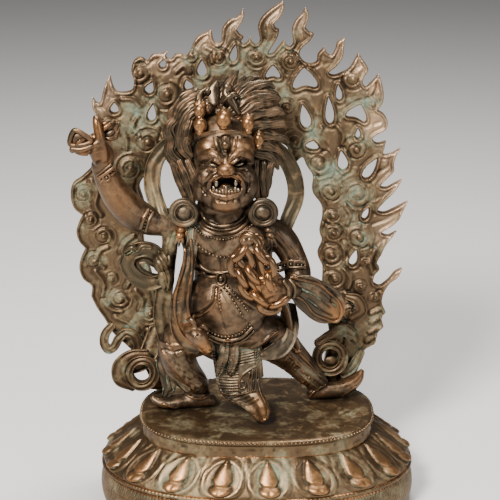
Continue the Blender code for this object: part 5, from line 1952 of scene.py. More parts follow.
@dataclass
class Body(SubAssembly):
    """Chest, belly, arms, legs and boots in one skin, and what is laid straight on it."""

    voxel: float = 0.34
    # Forms on the figure's own grid: middle and radii.
    trunk: tuple[Row, ...] = (
        (-8.4, -4.0, 33.4, 12.0, 10.2, 10.8), (-12.6, -4.0, 52.4, 6.2, 4.4, 5.4), (-2.0, -4.2, 52.2, 6.2, 4.4, 5.4),
        (-7.2, -6.6, 28.6, 9.4, 6.6, 6.4),
        (-20.0, -5.8, 31, 3.8, 4.4, 10.0), (-3.4, -2.6, 24.4, 13.0, 8.0, 5.6), (-8.5, 0.2, 58.5, 11.0, 5.4, 4.6),
        (-8.8, -1.4, 61.5, 8.4, 5.0, 4.2),
    )
    # Grid: x, y, z, half width and half thickness.
    spine: tuple[Row, ...] = (
        (-7, 0, 19, 11.0, 6.5), (-7.3, -0.4, 25, 12.4, 7.8), (-7.5, -1.0, 33, 11.6, 8.2), (-7.4, -0.6, 41, 10.8, 7.4),
        (-7.0, -0.6, 49, 11.4, 7.2),
        (-6.9, -0.2, 55, 11.4, 6.4), (-8.0, -0.8, 60, 7.0, 5.2),
    )
    limbs: tuple[tuple[Row, ...], ...] = (
        ((-7.5, -1.5, 52, 6), (-8.5, -1.4, 60, 5.0), (-9.3, -0.6, 67, 4.5)),
        ((-17, 0, 54, 5.2), (-22, -1, 56, 4.8), (-26, -2, 56.6, 4.1), (-31, -3.0, 57.6, 4.3),
         (-35.4, -4.6, 60.6, 4.7), (-38.8, -6.4, 65.2, 4.3),
         (-41.6, -8.0, 70.6, 3.5), (-43.4, -9.0, 75.4, 2.6)),
        ((2, 0, 53.5, 5.0), (7, 0, 51, 4.3), (10.2, -0.5, 46, 3.8), (11.8, -2.8, 41, 3.8), (10, -7.5, 39, 3.3),
         (8, -11.2, 39.6, 2.6)),
        ((-12, -1, 24, 7.5), (-18.5, -3.4, 23, 6.9), (-23.3, -4.4, 19, 5.7), (-21.8, -3.4, 12.5, 4.9),
         (-18, -2, 6.5, 3.9), (-16.6, -1.6, 3, 2.8)),
        ((0, 0, 22.5, 7.4), (5.6, 1, 18.6, 6.2), (10.4, 2, 13.8, 4.8), (14.6, 2.8, 9, 4.0), (18.2, 3.4, 5, 3.1)),
    )
    boots: tuple[tuple[Row, ...], ...] = (
        ((-13.2, -2.6, 1.7, 1.9, 1.8), (-16.5, -2.8, 2.2, 2.5, 2.2), (-22, -3.4, 2.0, 2.8, 2.0),
         (-26.6, -4.0, 1.8, 2.8, 1.7), (-29.4, -4.2, 2.2, 1.9, 1.3),
         (-30.8, -4.2, 3.4, 0.8, 0.7)),
        ((16.4, 2.4, 2.0, 1.9, 1.8), (20.0, 2.8, 2.4, 2.5, 2.2), (24.4, 3.8, 2.6, 2.9, 2.2),
         (28.2, 5.0, 3.6, 2.7, 2.0), (30.6, 6.0, 5.4, 2.0, 1.5),
         (31.6, 6.6, 7.2, 1.0, 0.8)),
    )
    # px, py, y and radius.
    fingers: tuple[tuple[Row, ...], ...] = (
        ((103, 172, -5.6, 2.5), (104, 162, -5.9, 2.9), (104.4, 152, -6.2, 2.6), (103, 146, -6.4, 1.7)),
        ((104, 158, -8.0, 1.6), (102.6, 148, -8.6, 1.6), (99.6, 137, -9.0, 1.35), (97.4, 127, -8.8, 1.25),
         (96.4, 120.6, -8.4, 1.15), (95, 117, -8.0, 0.7)),
        ((106, 147, -7.2, 1.2), (100, 143, -9.2, 1.15), (94, 145, -9.6, 1.1), (92.6, 151, -8.6, 0.9)),
        ((106, 153, -7.4, 1.2), (100, 149.6, -9.4, 1.15), (94.4, 152, -9.6, 1.1), (94, 157.4, -8.4, 0.9)),
        ((99, 163, -6.4, 1.4), (94.6, 156, -7.6, 1.2), (91, 150, -8.2, 1.0), (90, 145.6, -8.2, 0.7)),
        ((102, 160, -7.6, 1.2), (98.6, 156.6, -9.2, 1.1), (95.4, 159, -9.0, 0.95), (96.2, 163, -8.0, 0.7)),
    )
    left_hand: tuple[tuple[Row, ...], ...] = (
        ((289, 291, -6.6, 2.5), (281, 290, -8.6, 2.7), (273.6, 289, -9.6, 2.6), (268, 289, -9.8, 1.6)),
        ((277, 282.6, -10.6, 1.15), (269.4, 281.6, -12.4, 1.1), (263, 285.4, -12.6, 1.0), (262.6, 290, -11.6, 0.75)),
        ((278, 287.4, -11.0, 1.15), (270.6, 287, -13.0, 1.1), (264.4, 290.6, -13.0, 1.0), (264.4, 295, -12.0, 0.75)),
        ((279, 292.4, -11.0, 1.1), (272, 292.6, -13.0, 1.1), (266.6, 296, -12.8, 1.0), (267, 300, -11.8, 0.7)),
        ((280, 297, -10.6, 1.05), (274, 298, -12.4, 1.0), (269.6, 301, -12.0, 0.9), (270.6, 304, -11.2, 0.65)),
        ((284, 283, -8.6, 1.2), (277, 277.4, -10.6, 1.2), (270, 275.4, -11.8, 1.0), (265, 277, -12.2, 0.7)),
    )

    def creases(self) -> list[Stroke]:
        """Draws the folds of cloth and flesh.

        Returns:
            Their strokes.
        """
        lines = [
            Stroke(((212, 246), (222, 262), (221, 274)), 3.0, -0.4),
            Stroke(((196, 268), (206, 274), (221, 277), (236, 274)), 2.2, -0.7),
            Stroke(((217, 288), (214.6, 302), (204.6, 313), (191, 318.5)), 1.5, 0.55),
            Stroke(((214, 286), (211.6, 301), (202, 311), (190, 315.6)), 1.3, -0.45),
            Stroke(((222, 290), (232, 308), (246, 322)), 1.2, -0.35),
            Stroke(((218, 296), (221, 316), (226, 333)), 1.2, -0.35),
            Stroke(((224, 288), (240, 300), (254, 309)), 1.2, -0.3),
            Stroke(((189, 334), (202, 345), (225, 352), (252, 348), (277, 331)), 2.0, 0.6),
            Stroke(((188, 338), (202, 349.6), (225, 357), (254, 352.6), (279, 336)), 1.6, -0.7),
            Stroke(((205, 337), (225, 347), (250, 338)), 1.4, -0.5),
            Stroke(((162, 347), (172, 352), (186, 350), (197, 354)), 1.4, -0.6),
            Stroke(((160, 341), (172, 345), (190, 345)), 1.3, 0.4),
            Stroke(((165, 336), (176, 356), (190, 372), (203, 380)), 1.4, -0.6),
            Stroke(((162, 350), (172, 366), (184, 380), (196, 391)), 1.5, 0.55),
            Stroke(((170, 344), (181, 362), (194, 376)), 1.3, 0.45),
            Stroke(((185, 352), (192, 366), (206, 378)), 1.4, -0.5),
            Stroke(((187, 396), (199, 399), (210, 396)), 1.6, 0.6),
            Stroke(((186, 392), (199, 395), (211, 392)), 1.3, -0.5),
            Stroke(((278, 342), (292, 358), (306, 374), (318, 385)), 1.4, 0.5),
            Stroke(((283, 340), (297, 355), (311, 369), (322, 380)), 1.3, -0.5),
            Stroke(((270, 352), (285, 372), (300, 390), (308, 398)), 1.4, -0.5),
            Stroke(((266, 355), (280, 376), (294, 390)), 1.4, 0.4),
            Stroke(((290, 345), (303, 357), (314, 370), (324, 384)), 1.3, 0.45),
            Stroke(((298, 386), (306, 379), (316, 372)), 1.6, 0.6),
            Stroke(((302, 391), (311, 383), (320, 377)), 1.3, -0.5),
            Stroke(((306, 400), (315, 391), (325, 384)), 1.6, 0.6),
            Stroke(((163, 404), (180, 409), (203, 409)), 1.3, 0.4),
            Stroke(((318, 404), (338, 398), (356, 386)), 1.3, 0.4),
            Stroke(((271, 236), (283, 250), (291, 263), (299, 268)), 1.5, -0.5),
            Stroke(((277, 232), (289, 246), (298, 258)), 1.3, 0.35),
            Stroke(((263, 240), (271, 256), (276, 268)), 1.4, -0.5),
            Stroke(((276, 274), (290, 274), (306, 282)), 1.6, 0.5),
            Stroke(((279, 279), (291, 280), (303, 289)), 1.5, -0.5),
            Stroke(((119, 195), (127, 206), (140, 214)), 3.0, -0.25),
        ]
        for k in range(8):
            t = k / 7
            px, py = 285 + 26 * t, 352 + 27 * t
            lines.append(Stroke(((px - 3, py + 5), (px + 0.6, py + 0.6), (px + 4.4, py + 2.6)), 0.9,
                                0.34 if k % 2 else -0.34))
            px, py = 172 + 18 * t, 362 + 24 * t
            lines.append(Stroke(((px, py - 4), (px + 3.6, py - 1.4), (px + 3, py + 3.4)), 0.9,
                                0.32 if k % 2 else -0.32))
        return lines

    def skin(self) -> Shape:
        """Makes the fused body with its creases.

        Returns:
            The shape.
        """
        raw = Shape()
        for row in on_grid(self.trunk):
            raw.blob(row[:3], row[3:], sides=44)
        raw.sweep(on_grid(self.spine), sides=44, step=0.9)
        raw.sweeps(map(on_grid, self.limbs), Section.ROUND, 28, 0.9)
        for rows in self.boots:
            raw.sweep(on_grid(rows), sides=24, step=0.8, facing=(0, 0, 1))
        raw.sweeps(map(seen, (*self.fingers, *self.left_hand)), Section.ROUND, 16, 0.4)
        skin = raw.fuse(self.voxel, 3)
        engrave(skin, self.creases())
        return skin

    def jewels(self, skin: Shape) -> Shape:
        """Makes the collars, strings of beads, armlets, bracelets, buckle and tassels.

        Args:
            skin: The body that they lie on.

        Returns:
            The shape.
        """
        shape = Shape()
        for points, radius in (
            (((197, 216), (203, 227), (213, 232.5), (224, 233.6), (237, 230.6), (246, 223), (252, 213)), 0.62),
            (((200, 211), (206, 220.5), (215, 225.4), (225, 226), (236, 223), (244, 216), (248, 209)), 0.55),
            (((198.6, 213.6), (204.4, 224), (214, 229), (224.4, 230), (236.4, 227), (245, 219.4), (250.4, 211)),
             0.35),
            (((186, 233), (190, 249), (197, 262), (208, 271), (221, 272.6), (236, 270)), 0.62),
            (((181.6, 234), (185.6, 252), (193, 266), (205, 275.6), (219, 277)), 0.42),
            (((208, 334), (217, 338.5), (227, 340.5), (241, 337.6), (252, 327.6)), 0.6),
            (((207, 337), (216.4, 342), (227, 344), (242, 341), (254, 331)), 0.42),
            (((99, 178), (107, 172.6), (112.6, 168)), 0.6), (((101, 182), (109, 177), (115, 171.6)), 0.5),
            (((97.6, 174.6), (105, 169.4), (110.6, 165)), 0.42),
            (((141, 228), (143.4, 219), (148.6, 209.6)), 0.65), (((146, 231), (148.4, 222), (153.4, 212)), 0.55),
            (((277.6, 265), (288, 261.6), (304, 262.6)), 0.65), (((279, 271), (289, 267.6), (306, 268)), 0.5),
            (((284, 281.6), (288.6, 289), (288, 298)), 0.6), (((290, 280), (295, 288), (294, 297)), 0.5),
        ):
            shape.join(cord_on(skin, points, radius, radius * 0.25))
        strings = (
            ("collar_beads", ((193.6, 224.6), (200, 232.6), (211, 237.6), (224, 239.4), (238, 235.6), (252, 225)),
             0.4, 0.86),
            ("chest_beads", ((187, 232), (194, 241), (203, 249.6), (213, 255), (224, 257.4), (233, 255.6)), 0.5,
             1.12),
            ("tassel_beads_a", ((223.6, 287), (231, 297), (238, 308), (242.6, 316)), 0.46, 1.05),
            ("tassel_beads_b", ((226.4, 285), (235, 294), (243, 304), (247.6, 311)), 0.4, 0.95),
            ("tassel_beads_c", ((219.6, 289), (219, 299), (221, 310)), 0.42, 1.0),
            ("armlet_beads", ((278.4, 268), (288.6, 264.6), (305, 265.4)), 0.42, 0.92),
            ("wrist_beads", ((100, 180), (108, 174.8), (113.8, 169.8)), 0.4, 0.88),
            ("elbow_beads", ((143.6, 229.6), (146, 220.4), (151, 211)), 0.42, 0.92),
            ("belt_beads", ((209, 331), (217, 335), (226, 336.6), (240, 333.6), (250, 324.6)), 0.42, 0.95),
        )
        for name, points, radius, pitch in strings:
            shape.join(beads_on(name, skin, points, radius, pitch))
        for px, py, wide, tall in ((221, 279, 4.4, 6.0), (228, 343, 4.2, 4.0), (106.6, 177.6, 3.4, 3.4),
                                   (291, 264, 3.4, 3.6)):
            turn = np.linspace(0, 2 * math.pi, 14, endpoint=False)
            loop = [(px + wide * math.sin(t), py - tall * math.cos(t)) for t in turn]
            shape.join(cord_on(skin, loop, 0.42, 0.35, closed=True))
            middle = drape(skin, ((px, py), (px, py + 1.3)), 0.25)[0]
            shape.blob(middle, (wide * 0.17, 0.75, tall * 0.17), sides=18)
        return shape

    def pieces(self) -> Iterator[Casting]:
        """Makes the body and its jewels.

        Returns:
            The castings, one after the other.
        """
        skin = self.skin()
        yield Casting("body", skin, SKIN, Node.FIGURE, 14, 1.5)
        yield Casting("body_jewels", self.jewels(skin), CAST_JEWELS, Node.FIGURE, 6, 1.8)


@dataclass
class Garments(SubAssembly):
    """The beast's skin with its snout, the hatched apron with its tongue, hip cloths and sleeve."""

    # Figure's grid: x, y, z, half width and half thickness.
    pelt: tuple[tuple[Row, ...], ...] = (
        ((-17.5, -4, 58, 1.6, 1.0), (-18.6, -7.4, 50, 1.7, 1.0), (-20.4, -9.2, 41.5, 2.2, 1.0),
         (-22.0, -10.2, 34, 2.8, 1.0),
         (-21.4, -11.0, 27.6, 3.2, 1.1), (-19.4, -11.4, 24.0, 2.8, 1.1), (-16.6, -11.4, 22.0, 2.0, 1.0)),
        ((-12.6, 4.6, 58, 3.2, 1.2), (-15.4, 6.4, 48, 3.8, 1.3), (-15.8, 6.8, 36, 4.0, 1.3),
         (-16.4, 6.6, 25, 3.8, 1.2), (-17.6, 5.6, 15, 1.4, 0.9)),
        ((-8.6, 5.2, 58, 3.2, 1.2), (-10.0, 7.2, 48, 3.8, 1.3), (-10.4, 7.6, 36, 4.0, 1.3),
         (-10.8, 7.4, 24, 3.8, 1.2), (-11.2, 6.4, 11.5, 1.8, 0.9)),
        ((-4.8, 5.2, 58, 3.2, 1.2), (-4.6, 7.2, 48, 3.8, 1.3), (-4.8, 7.6, 36, 4.0, 1.3), (-4.8, 7.4, 25, 3.8, 1.2),
         (-5.0, 6.4, 14, 1.6, 0.9)),
        ((-1.0, 4.6, 58, 3.0, 1.2), (0.8, 6.4, 48, 3.6, 1.3), (0.6, 6.8, 36, 3.8, 1.3), (1.2, 6.6, 26, 3.6, 1.2),
         (2.2, 5.8, 17, 1.4, 0.9)),
    )
    apron: tuple[Row, ...] = (
        (-6.5, -7.3, 26, 7.8, 1.2), (-5.8, -8.6, 20, 7.2, 1.2), (-5.2, -8.8, 14, 7.0, 1.1),
        (-4.4, -8.8, 9.5, 6.6, 1.1), (-2.0, -10, 6.4, 4.4, 1.1),
        (0.6, -13, 4.0, 3.1, 1.1), (1.8, -15.6, 2.7, 2.7, 1.0), (2.2, -17.0, 2.2, 1.5, 0.8),
    )
    cloths: tuple[tuple[Row, ...], ...] = (
        ((9.2, -1, 31, 2.2, 0.9), (9.2, -4.6, 25.5, 3.0, 0.9), (6.6, -7.8, 20.6, 3.0, 0.9),
         (1.6, -9.8, 19.0, 1.6, 0.8)),
        ((-9.2, -9.2, 22.4, 1.4, 0.6), (-9.6, -10.4, 18.6, 1.5, 0.6), (-11.0, -10.2, 14.6, 1.3, 0.5),
         (-11.4, -9.6, 12.6, 0.5, 0.4)),
        ((-6.4, -9.6, 22.2, 1.3, 0.6), (-6.6, -10.6, 18.4, 1.4, 0.6), (-7.6, -10.6, 15.0, 1.1, 0.5),
         (-8.2, -10.2, 13.4, 0.4, 0.4)),
        ((-27, -5.3, 19, 1.5, 0.7), (-25, -6.9, 14.5, 1.8, 0.8), (-21.5, -6.8, 10.5, 1.8, 0.8),
         (-17, -5.8, 7.6, 1.5, 0.7)),
        ((9.0, -2.2, 16.4, 1.7, 0.7), (13, -1.6, 12, 1.9, 0.8), (17.0, -0.8, 8, 2.0, 0.8),
         (19.6, 0.6, 5.6, 2.0, 0.8)),
    )
    # px, py, y and radius.
    snout: tuple[tuple[Row, ...], ...] = (
        ((188, 328, -9.0, 1.6), (193, 333, -10.6, 2.4), (199, 338, -11.8, 2.5), (204, 344, -12.2, 1.9),
         (208, 349.6, -12.2, 1.3)),
        ((199, 345, -10.4, 1.0), (204, 350.6, -11.2, 0.9), (207.4, 353.6, -11.2, 0.5)),
        ((187, 320, -10.0, 0.4), (191, 319.6, -11.0, 0.9), (195, 324.6, -11.4, 0.8), (193.6, 330, -11.6, 0.3)),
        ((199, 330, -11.6, 0.3), (203.4, 325.6, -12.2, 0.8), (206.6, 329.6, -12.2, 0.5)),
    )
    # px, py, y, half width and half thickness.
    sleeve: tuple[tuple[Row, ...], ...] = (
        ((290, 285, -4.8, 2.9, 0.8), (302, 289, -4.2, 4.6, 0.8), (314, 297, -3.4, 5.5, 0.8),
         (326, 305.6, -2.8, 5.7, 0.8), (335, 312, -2.4, 4.5, 0.8),
         (340, 316, -2.4, 2.2, 0.7)),
        ((296, 281, -5.2, 1.8, 0.7), (308, 284, -4.8, 2.6, 0.7), (320, 292, -4.2, 2.4, 0.7),
         (329, 300, -3.6, 0.8, 0.6)),
    )
    # Rolled edges laid on the cloths: pixels.
    rims: tuple[tuple[Row, ...], ...] = (
        ((184, 235), (185, 252), (183, 268), (177.6, 285), (174.6, 302), (176, 320), (182, 334), (192, 343.6)),
        ((190.6, 240), (192, 256), (191.6, 272), (189, 288), (187.6, 303), (189.6, 318), (194, 328)),
        ((291, 277.6), (305, 280.4), (320, 285), (330, 293.6), (339, 302), (341.6, 312), (336.4, 321.6), (326, 319),
         (314, 313.6), (303.6, 301), (291.6, 294)),
    )
    ribbon_end: tuple[tuple[Row, ...], ...] = (
        ((163, 350, 1.2, 1.2, 0.8), (163, 364, 0.8, 1.9, 0.9), (168, 377, 0.4, 2.3, 0.9), (169, 388, 0.0, 2.0, 0.9),
         (165, 396, -0.2, 1.0, 0.7)),
        ((170, 352, -2.2, 1.1, 0.7), (176, 368, -2.8, 1.6, 0.8), (183, 381, -3.0, 1.7, 0.8),
         (188, 390, -3.0, 0.8, 0.6)),
    )

    def hatching(self) -> list[Stroke]:
        """Draws the apron's combed hair, its leaf and its borders, and the folds of the rest.

        Returns:
            Their strokes.
        """
        lines = []
        for k in range(15):
            py = 352.5 + 2.75 * k
            end = ((243, py + 0.4), (258, py - 3.0)) if py < 365 else ((238, py + 0.9),)
            lines.append(Stroke(((210 + 0.35 * k, py - 2.2), (219, py + 0.2), (231, py + 1.4), *end), 0.95, -0.36))
        for k in range(5):
            lines.append(Stroke(((222 + 4 * k, 396 + 2.4 * k), (232 + 4.6 * k, 396 + 2 * k),
                                 (240 + 4.4 * k, 393 + 1.6 * k)), 1.1, -0.3))
        leaf = ((255.5, 366), (248, 370.4), (241.6, 376), (239, 383), (241, 388.4), (245.4, 386.6), (245.2, 381.6),
                (241.8, 381.4))
        for rows in (leaf, ((249.6, 372.6), (248, 381), (249, 391)), ((253, 370), (251.8, 380), (252.6, 391))):
            lines.append(Stroke(rows, 1.15, 0.5))
        lines.append(Stroke(((210, 354), (212, 372), (216, 388)), 1.6, 0.5))
        lines.append(Stroke(((255.6, 352), (256.6, 372), (255.4, 390)), 1.5, 0.5))
        lines.append(Stroke(((216, 389), (230, 395), (256, 391)), 1.4, 0.4))
        for k in range(9):
            t = k / 8
            px, py = 184 - 9 * math.sin(math.pi * t), 246 + 84 * t
            lines.append(Stroke(((px - 5, py - 1), (px, py + 2.4), (px + 6, py + 1)), 1.0, -0.22))
        for px, py, size, deep in ((198, 334.6, 1.5, -0.6), (194.6, 337, 1.3, 0.35), (206.6, 347.6, 0.9, -0.4),
                                   (203.6, 349.6, 0.9, -0.4)):
            lines.append(Stroke(((px, py),), size, deep))
        for rows in (
            ((262, 322), (272, 330), (270, 342)), ((258, 336), (267, 340), (262, 350)),
            ((240, 350), (256, 349), (272, 341)),
            ((155, 352), (158, 370), (163, 390)), ((161, 352), (165, 372), (169, 392)),
            ((167, 362), (170, 378), (173, 390)),
            ((300, 288), (316, 296), (330, 308)), ((306, 284), (322, 294), (336, 306)),
            ((308, 300), (320, 308), (332, 316)),
        ):
            lines.append(Stroke(rows, 1.5, -0.42))
        return lines

    def pieces(self) -> Iterator[Casting]:
        """Makes the garments.

        Returns:
            The castings, one after the other.
        """
        shape = Shape()
        apron = Shape().sweep(on_grid(self.apron), Section.CLOTH, 210, 0.16)
        engrave(apron, self.hatching())
        yield Casting("hatched_apron", apron, CAST_CLOTH, Node.FIGURE, 20, 2.0)
        shape.sweeps(map(on_grid, self.pelt), Section.CLOTH, 60, 0.35)
        shape.sweeps(map(on_grid, self.cloths), Section.CLOTH, 44, 0.35)
        shape.sweeps(map(seen, (*self.sleeve, *self.ribbon_end)), Section.CLOTH, 50, 0.35)
        snout = Shape().sweeps(map(seen, self.snout), Section.ROUND, 20, 0.4).fuse(0.25, 2)
        engrave(snout, self.hatching())
        yield Casting("beast_snout", snout, SKIN, Node.FIGURE, 10, 2.2)
        engrave(shape, self.hatching())
        for rows in self.rims:
            shape.join(cord_on(shape, rows, 0.5, 0.05))
        yield Casting("garments", shape, CAST_CLOTH, Node.FIGURE, 10, 2.3)


@dataclass
class Scarves(SubAssembly):
    """The long scarf: a loop at each side of the head, its leaf-like curl and its hanging end."""

    # Figure's grid: x, y, z, half width and half thickness.
    bands: tuple[tuple[Row, ...], ...] = (
        ((-17.0, 2, 80, 2.0, 0.8), (-24, 3, 79, 2.2, 0.8), (-28.8, 2.4, 73.6, 2.4, 0.8), (-29.8, 0.6, 66.5, 2.4, 0.8),
         (-27.2, -4.4, 60, 2.2, 0.8),
         (-24.8, -5.2, 53.5, 2.2, 0.9), (-25.8, -2.6, 44, 2.4, 0.9), (-26.8, -2.6, 36, 2.5, 0.9),
         (-27.8, -2.2, 28, 2.4, 0.9), (-26.6, -2.0, 20, 2.0, 0.9)),
        ((-4, 3, 78, 2.0, 0.8), (4, 4, 77.5, 2.2, 0.8), (9.4, 4, 71.5, 2.4, 0.8), (11.2, 3.4, 63.5, 2.4, 0.8),
         (8.8, 2, 56, 2.2, 0.8), (6, 0, 50, 2.2, 0.9)),
    )
    # px, py, y, half width and half thickness.
    leaf: tuple[tuple[Row, ...], ...] = (
        ((165, 262, 0.2, 1.8, 0.8), (153, 251, -0.8, 2.3, 0.8), (141, 249, -1.1, 2.4, 0.8),
         (130, 254.6, -1.1, 2.2, 0.8), (127.6, 266, -0.9, 2.1, 0.8),
         (137, 278, -0.7, 2.3, 0.8), (150, 283, -0.3, 2.2, 0.8), (164, 279, 0.3, 1.8, 0.8)),
        ((157, 266, 0.4, 0.8, 0.7), (146, 260, 0.2, 1.0, 0.7), (137, 262, 0.2, 0.9, 0.7), (140, 271, 0.2, 1.3, 0.7),
         (150, 276, 0.4, 1.2, 0.7), (158, 276, 0.8, 0.7, 0.7)),
        ((126, 252, -1.8, 0.9, 0.7), (132, 247, -2.0, 1.0, 0.7), (137, 251, -2.0, 0.8, 0.7),
         (142, 246, -2.0, 1.0, 0.7), (150, 246.6, -1.8, 0.8, 0.6)),
    )
    knot: tuple[Row, ...] = ((163, 262, -1.4, 2.8, 2.6, 3.4, 20), (166, 276, -1.0, 2.4, 2.4, 4.6, -6),
                             (170, 246, -1.2, 2.2, 2.4, 3.4, 0))

    def pieces(self) -> Iterator[Casting]:
        """Makes the scarves.

        Returns:
            The castings, one after the other.
        """
        shape = Shape().sweeps(map(on_grid, self.bands), Section.CLOTH, 44, 0.4)
        shape.sweeps(map(seen, self.leaf), Section.CLOTH, 40, 0.4).blobs(self.knot, 60)
        engrave(shape, [
            Stroke(rows, 1.4, -0.5) for rows in (
                ((159, 252), (165, 260), (170, 268)), ((157, 258), (163, 266), (168, 276)),
                ((158, 266), (163, 275), (166, 286)),
                ((171, 239), (168, 250), (169, 262)), ((164, 268), (168, 280), (166, 291)),
                ((121, 262), (124, 255), (134, 251)),
            )
        ])
        yield Casting("scarves", shape, CAST_SCARF, Node.FIGURE, 10, 2.2)


@dataclass
class Regalia(SubAssembly):
    """Earrings, vajra and the noose of chain."""

    # Along the vajra's axis, in millimetres: the core's distance and radius, a prong's distance, how far it bows
    # out and its radius, and the distance and radius of the grip's knobs.
    core: tuple[Row, ...] = ((0.2, 0.35), (1.2, 0.7), (3.0, 0.5), (5.6, 0.8))
    prong: tuple[Row, ...] = ((0.7, 0.3, 0.4), (1.5, 1.7, 0.6), (3.0, 2.7, 0.72), (4.6, 2.4, 0.72), (5.8, 1.2, 0.6))
    knobs: tuple[Row, ...] = ((6.1, 1.7), (7.0, 1.2), (7.7, 1.5))
    # The rim of the vajra's left cage, the prong below it, and the leaves on its right cage: px, py, y and sizes.
    cage_rim: tuple[Row, ...] = (
        (70, 144, -10.4, 0.7), (74, 130.6, -10.6, 0.7), (83, 134, -10.8, 0.7), (91, 141, -10.6, 0.7),
        (82, 145, -10.6, 0.8),
    )
    cage_prong: tuple[Row, ...] = ((72, 149, -10.2, 0.8), (82, 149.6, -10.4, 1.0), (92, 146, -10.2, 0.8))
    cage_leaves: tuple[Row, ...] = (
        (110, 126, -5.4, 1.1, 2.2, 40), (114, 130, -5.0, 1.1, 2.4, 20), (109, 134, -5.8, 1.0, 2.0, 55),
        (104, 124, -5.8, 0.9, 1.8, 60),
    )
    rod: tuple[Row, ...] = (
        (281, 297, -8.0, 1.0), (286, 308, -5.0, 1.0), (290, 326, -1.4, 1.0), (297, 346, 1.6, 1.0),
        (299, 356, 3.0, 0.9),
    )
    # The jewel's flames: pixel column, height in pixels and how far the tip leans.
    jewel_flames: tuple[Row, ...] = ((250, 13, 0), (246.6, 9, -2.4), (254, 9, 2.6))
    # How far below its disc each bead of a tassel hangs, and its radius.
    tassel_beads: tuple[Row, ...] = ((5.0, 1.15), (6.6, 1.35), (8.0, 0.8))
    # px, py, y of the ear discs and the way their pendants hang.
    discs: tuple[Row, ...] = ((184, 213, -3.2, -1.6), (263, 213, -4.4, 2.6))
    disc_radius: float = 3.5
    vajra_ends: tuple[Row, Row] = ((71, 151, -9.9), (119, 124, -3.4))
    link_size: tuple[float, float, float] = (2.7, 1.7, 1.16)
    link_pitch: float = 3.6
    strings: tuple[tuple[str, tuple[Row, ...]], ...] = (
        ("noose_outer", ((252, 244, -10.6), (241, 251, -11.0), (236.6, 263, -11.2), (241, 277, -11.4),
                         (250, 290, -11.6), (261, 300, -11.4),
                         (274, 308, -10.6), (279, 301, -10.2))),
        ("noose_inner", ((251, 243, -11.6), (258, 249, -12.2), (265, 259, -12.3), (268, 270, -12.2),
                         (270, 281, -12.0))),
        ("noose_middle", ((245, 258, -12.0), (250, 269, -12.3), (257, 279, -12.4), (266, 286, -12.2))),
    )

    def earrings(self) -> Shape:
        """Makes the big ringed discs with hanging tassels.

        Returns:
            The shape.
        """
        shape = Shape()
        for px, py, y, drop in self.discs:
            middle = PHOTO.place(px, py, y)
            turn = 2 * np.pi * np.arange(20) / 20
            for radius, thick, out in ((self.disc_radius, 0.7, 0), (self.disc_radius * 0.76, 0.3, -0.2),
                                       (self.disc_radius + 0.55, 0.3, 0.4)):
                ring = [(middle[0] + radius * math.cos(a), middle[1] + out, middle[2] + radius * math.sin(a),
                         thick) for a in turn]
                shape.sweep(ring, sides=14, step=0.4, closed=True)
            shape.blob(middle + (0, 0.9, 0), (self.disc_radius * 0.95, 0.9, self.disc_radius * 0.95), sides=36)
            shape.blob(middle + (0, 0.1, 0), (self.disc_radius * 0.58, 0.8, self.disc_radius * 0.52), sides=30)
            for fall, radius in self.tassel_beads:
                at = middle + (drop * fall / 8, 0.2, -fall)
                shape.blob(at, (radius, radius, radius * 0.8), sides=18)
            for lean in (-1.2, 0.0, 1.2):
                start = middle + (drop * 0.8, 0, -6.6)
                end = middle + (drop + lean, 0.3, -10.0)
                bent = (start + end) / 2 + (lean * 0.3, -0.3, 0)
                shape.sweep([(*start, 0.6), (*bent, 0.55), (*end, 0.2)], sides=10, step=0.4)
        return shape

    def vajra(self) -> Shape:
        """Makes two caged ends of four prongs about a core, on a knobbed grip.

        Returns:
            The shape.
        """
        shape = Shape()
        left, right = (PHOTO.place(*end) for end in self.vajra_ends)
        axis = right - left
        length = float(np.linalg.norm(axis))
        axis /= length
        side = np.cross(axis, (0, 0, 1.0))
        side /= np.linalg.norm(side)
        up = np.cross(side, axis)
        for start, way in ((left, 1), (right, -1)):
            shape.sweep([(*(start + way * axis * far), size) for far, size in self.core], sides=14, step=0.4)
            shape.blob(start + way * axis * 0.4, (0.8, 0.8, 0.8), sides=18)
            for quarter in range(4):
                a = math.pi * (quarter / 2 + 0.25)
                out = side * math.cos(a) + up * math.sin(a)
                rows = [(*(start + way * axis * far + out * wide), size) for far, wide, size in self.prong]
                shape.sweep(rows, sides=12, step=0.35)
                shape.blob(start + way * axis * 3.0 + out * 3.0, (0.6, 0.6, 0.6), sides=12)
            for far, size in self.knobs:
                shape.blob(start + way * axis * far, (size, size, size * 0.9), sides=18)
        shape.sweep([(*(left + axis * 6), 1.0), (*(right - axis * 6), 1.0)], sides=14, step=0.6)
        for rows, closed in ((self.cage_rim, True), (self.cage_prong, False)):
            shape.sweep(seen(rows), sides=14, step=0.35, closed=closed)
        shape.blob(PHOTO.place(79.6, 138.6, -9.9), (2.5, 0.8, 1.9), -16, 26)
        for px, py, y, wide, tall, turn in self.cage_leaves:
            shape.blob(PHOTO.place(px, py, y), (wide, 1.0, tall), turn, 22)
        return shape

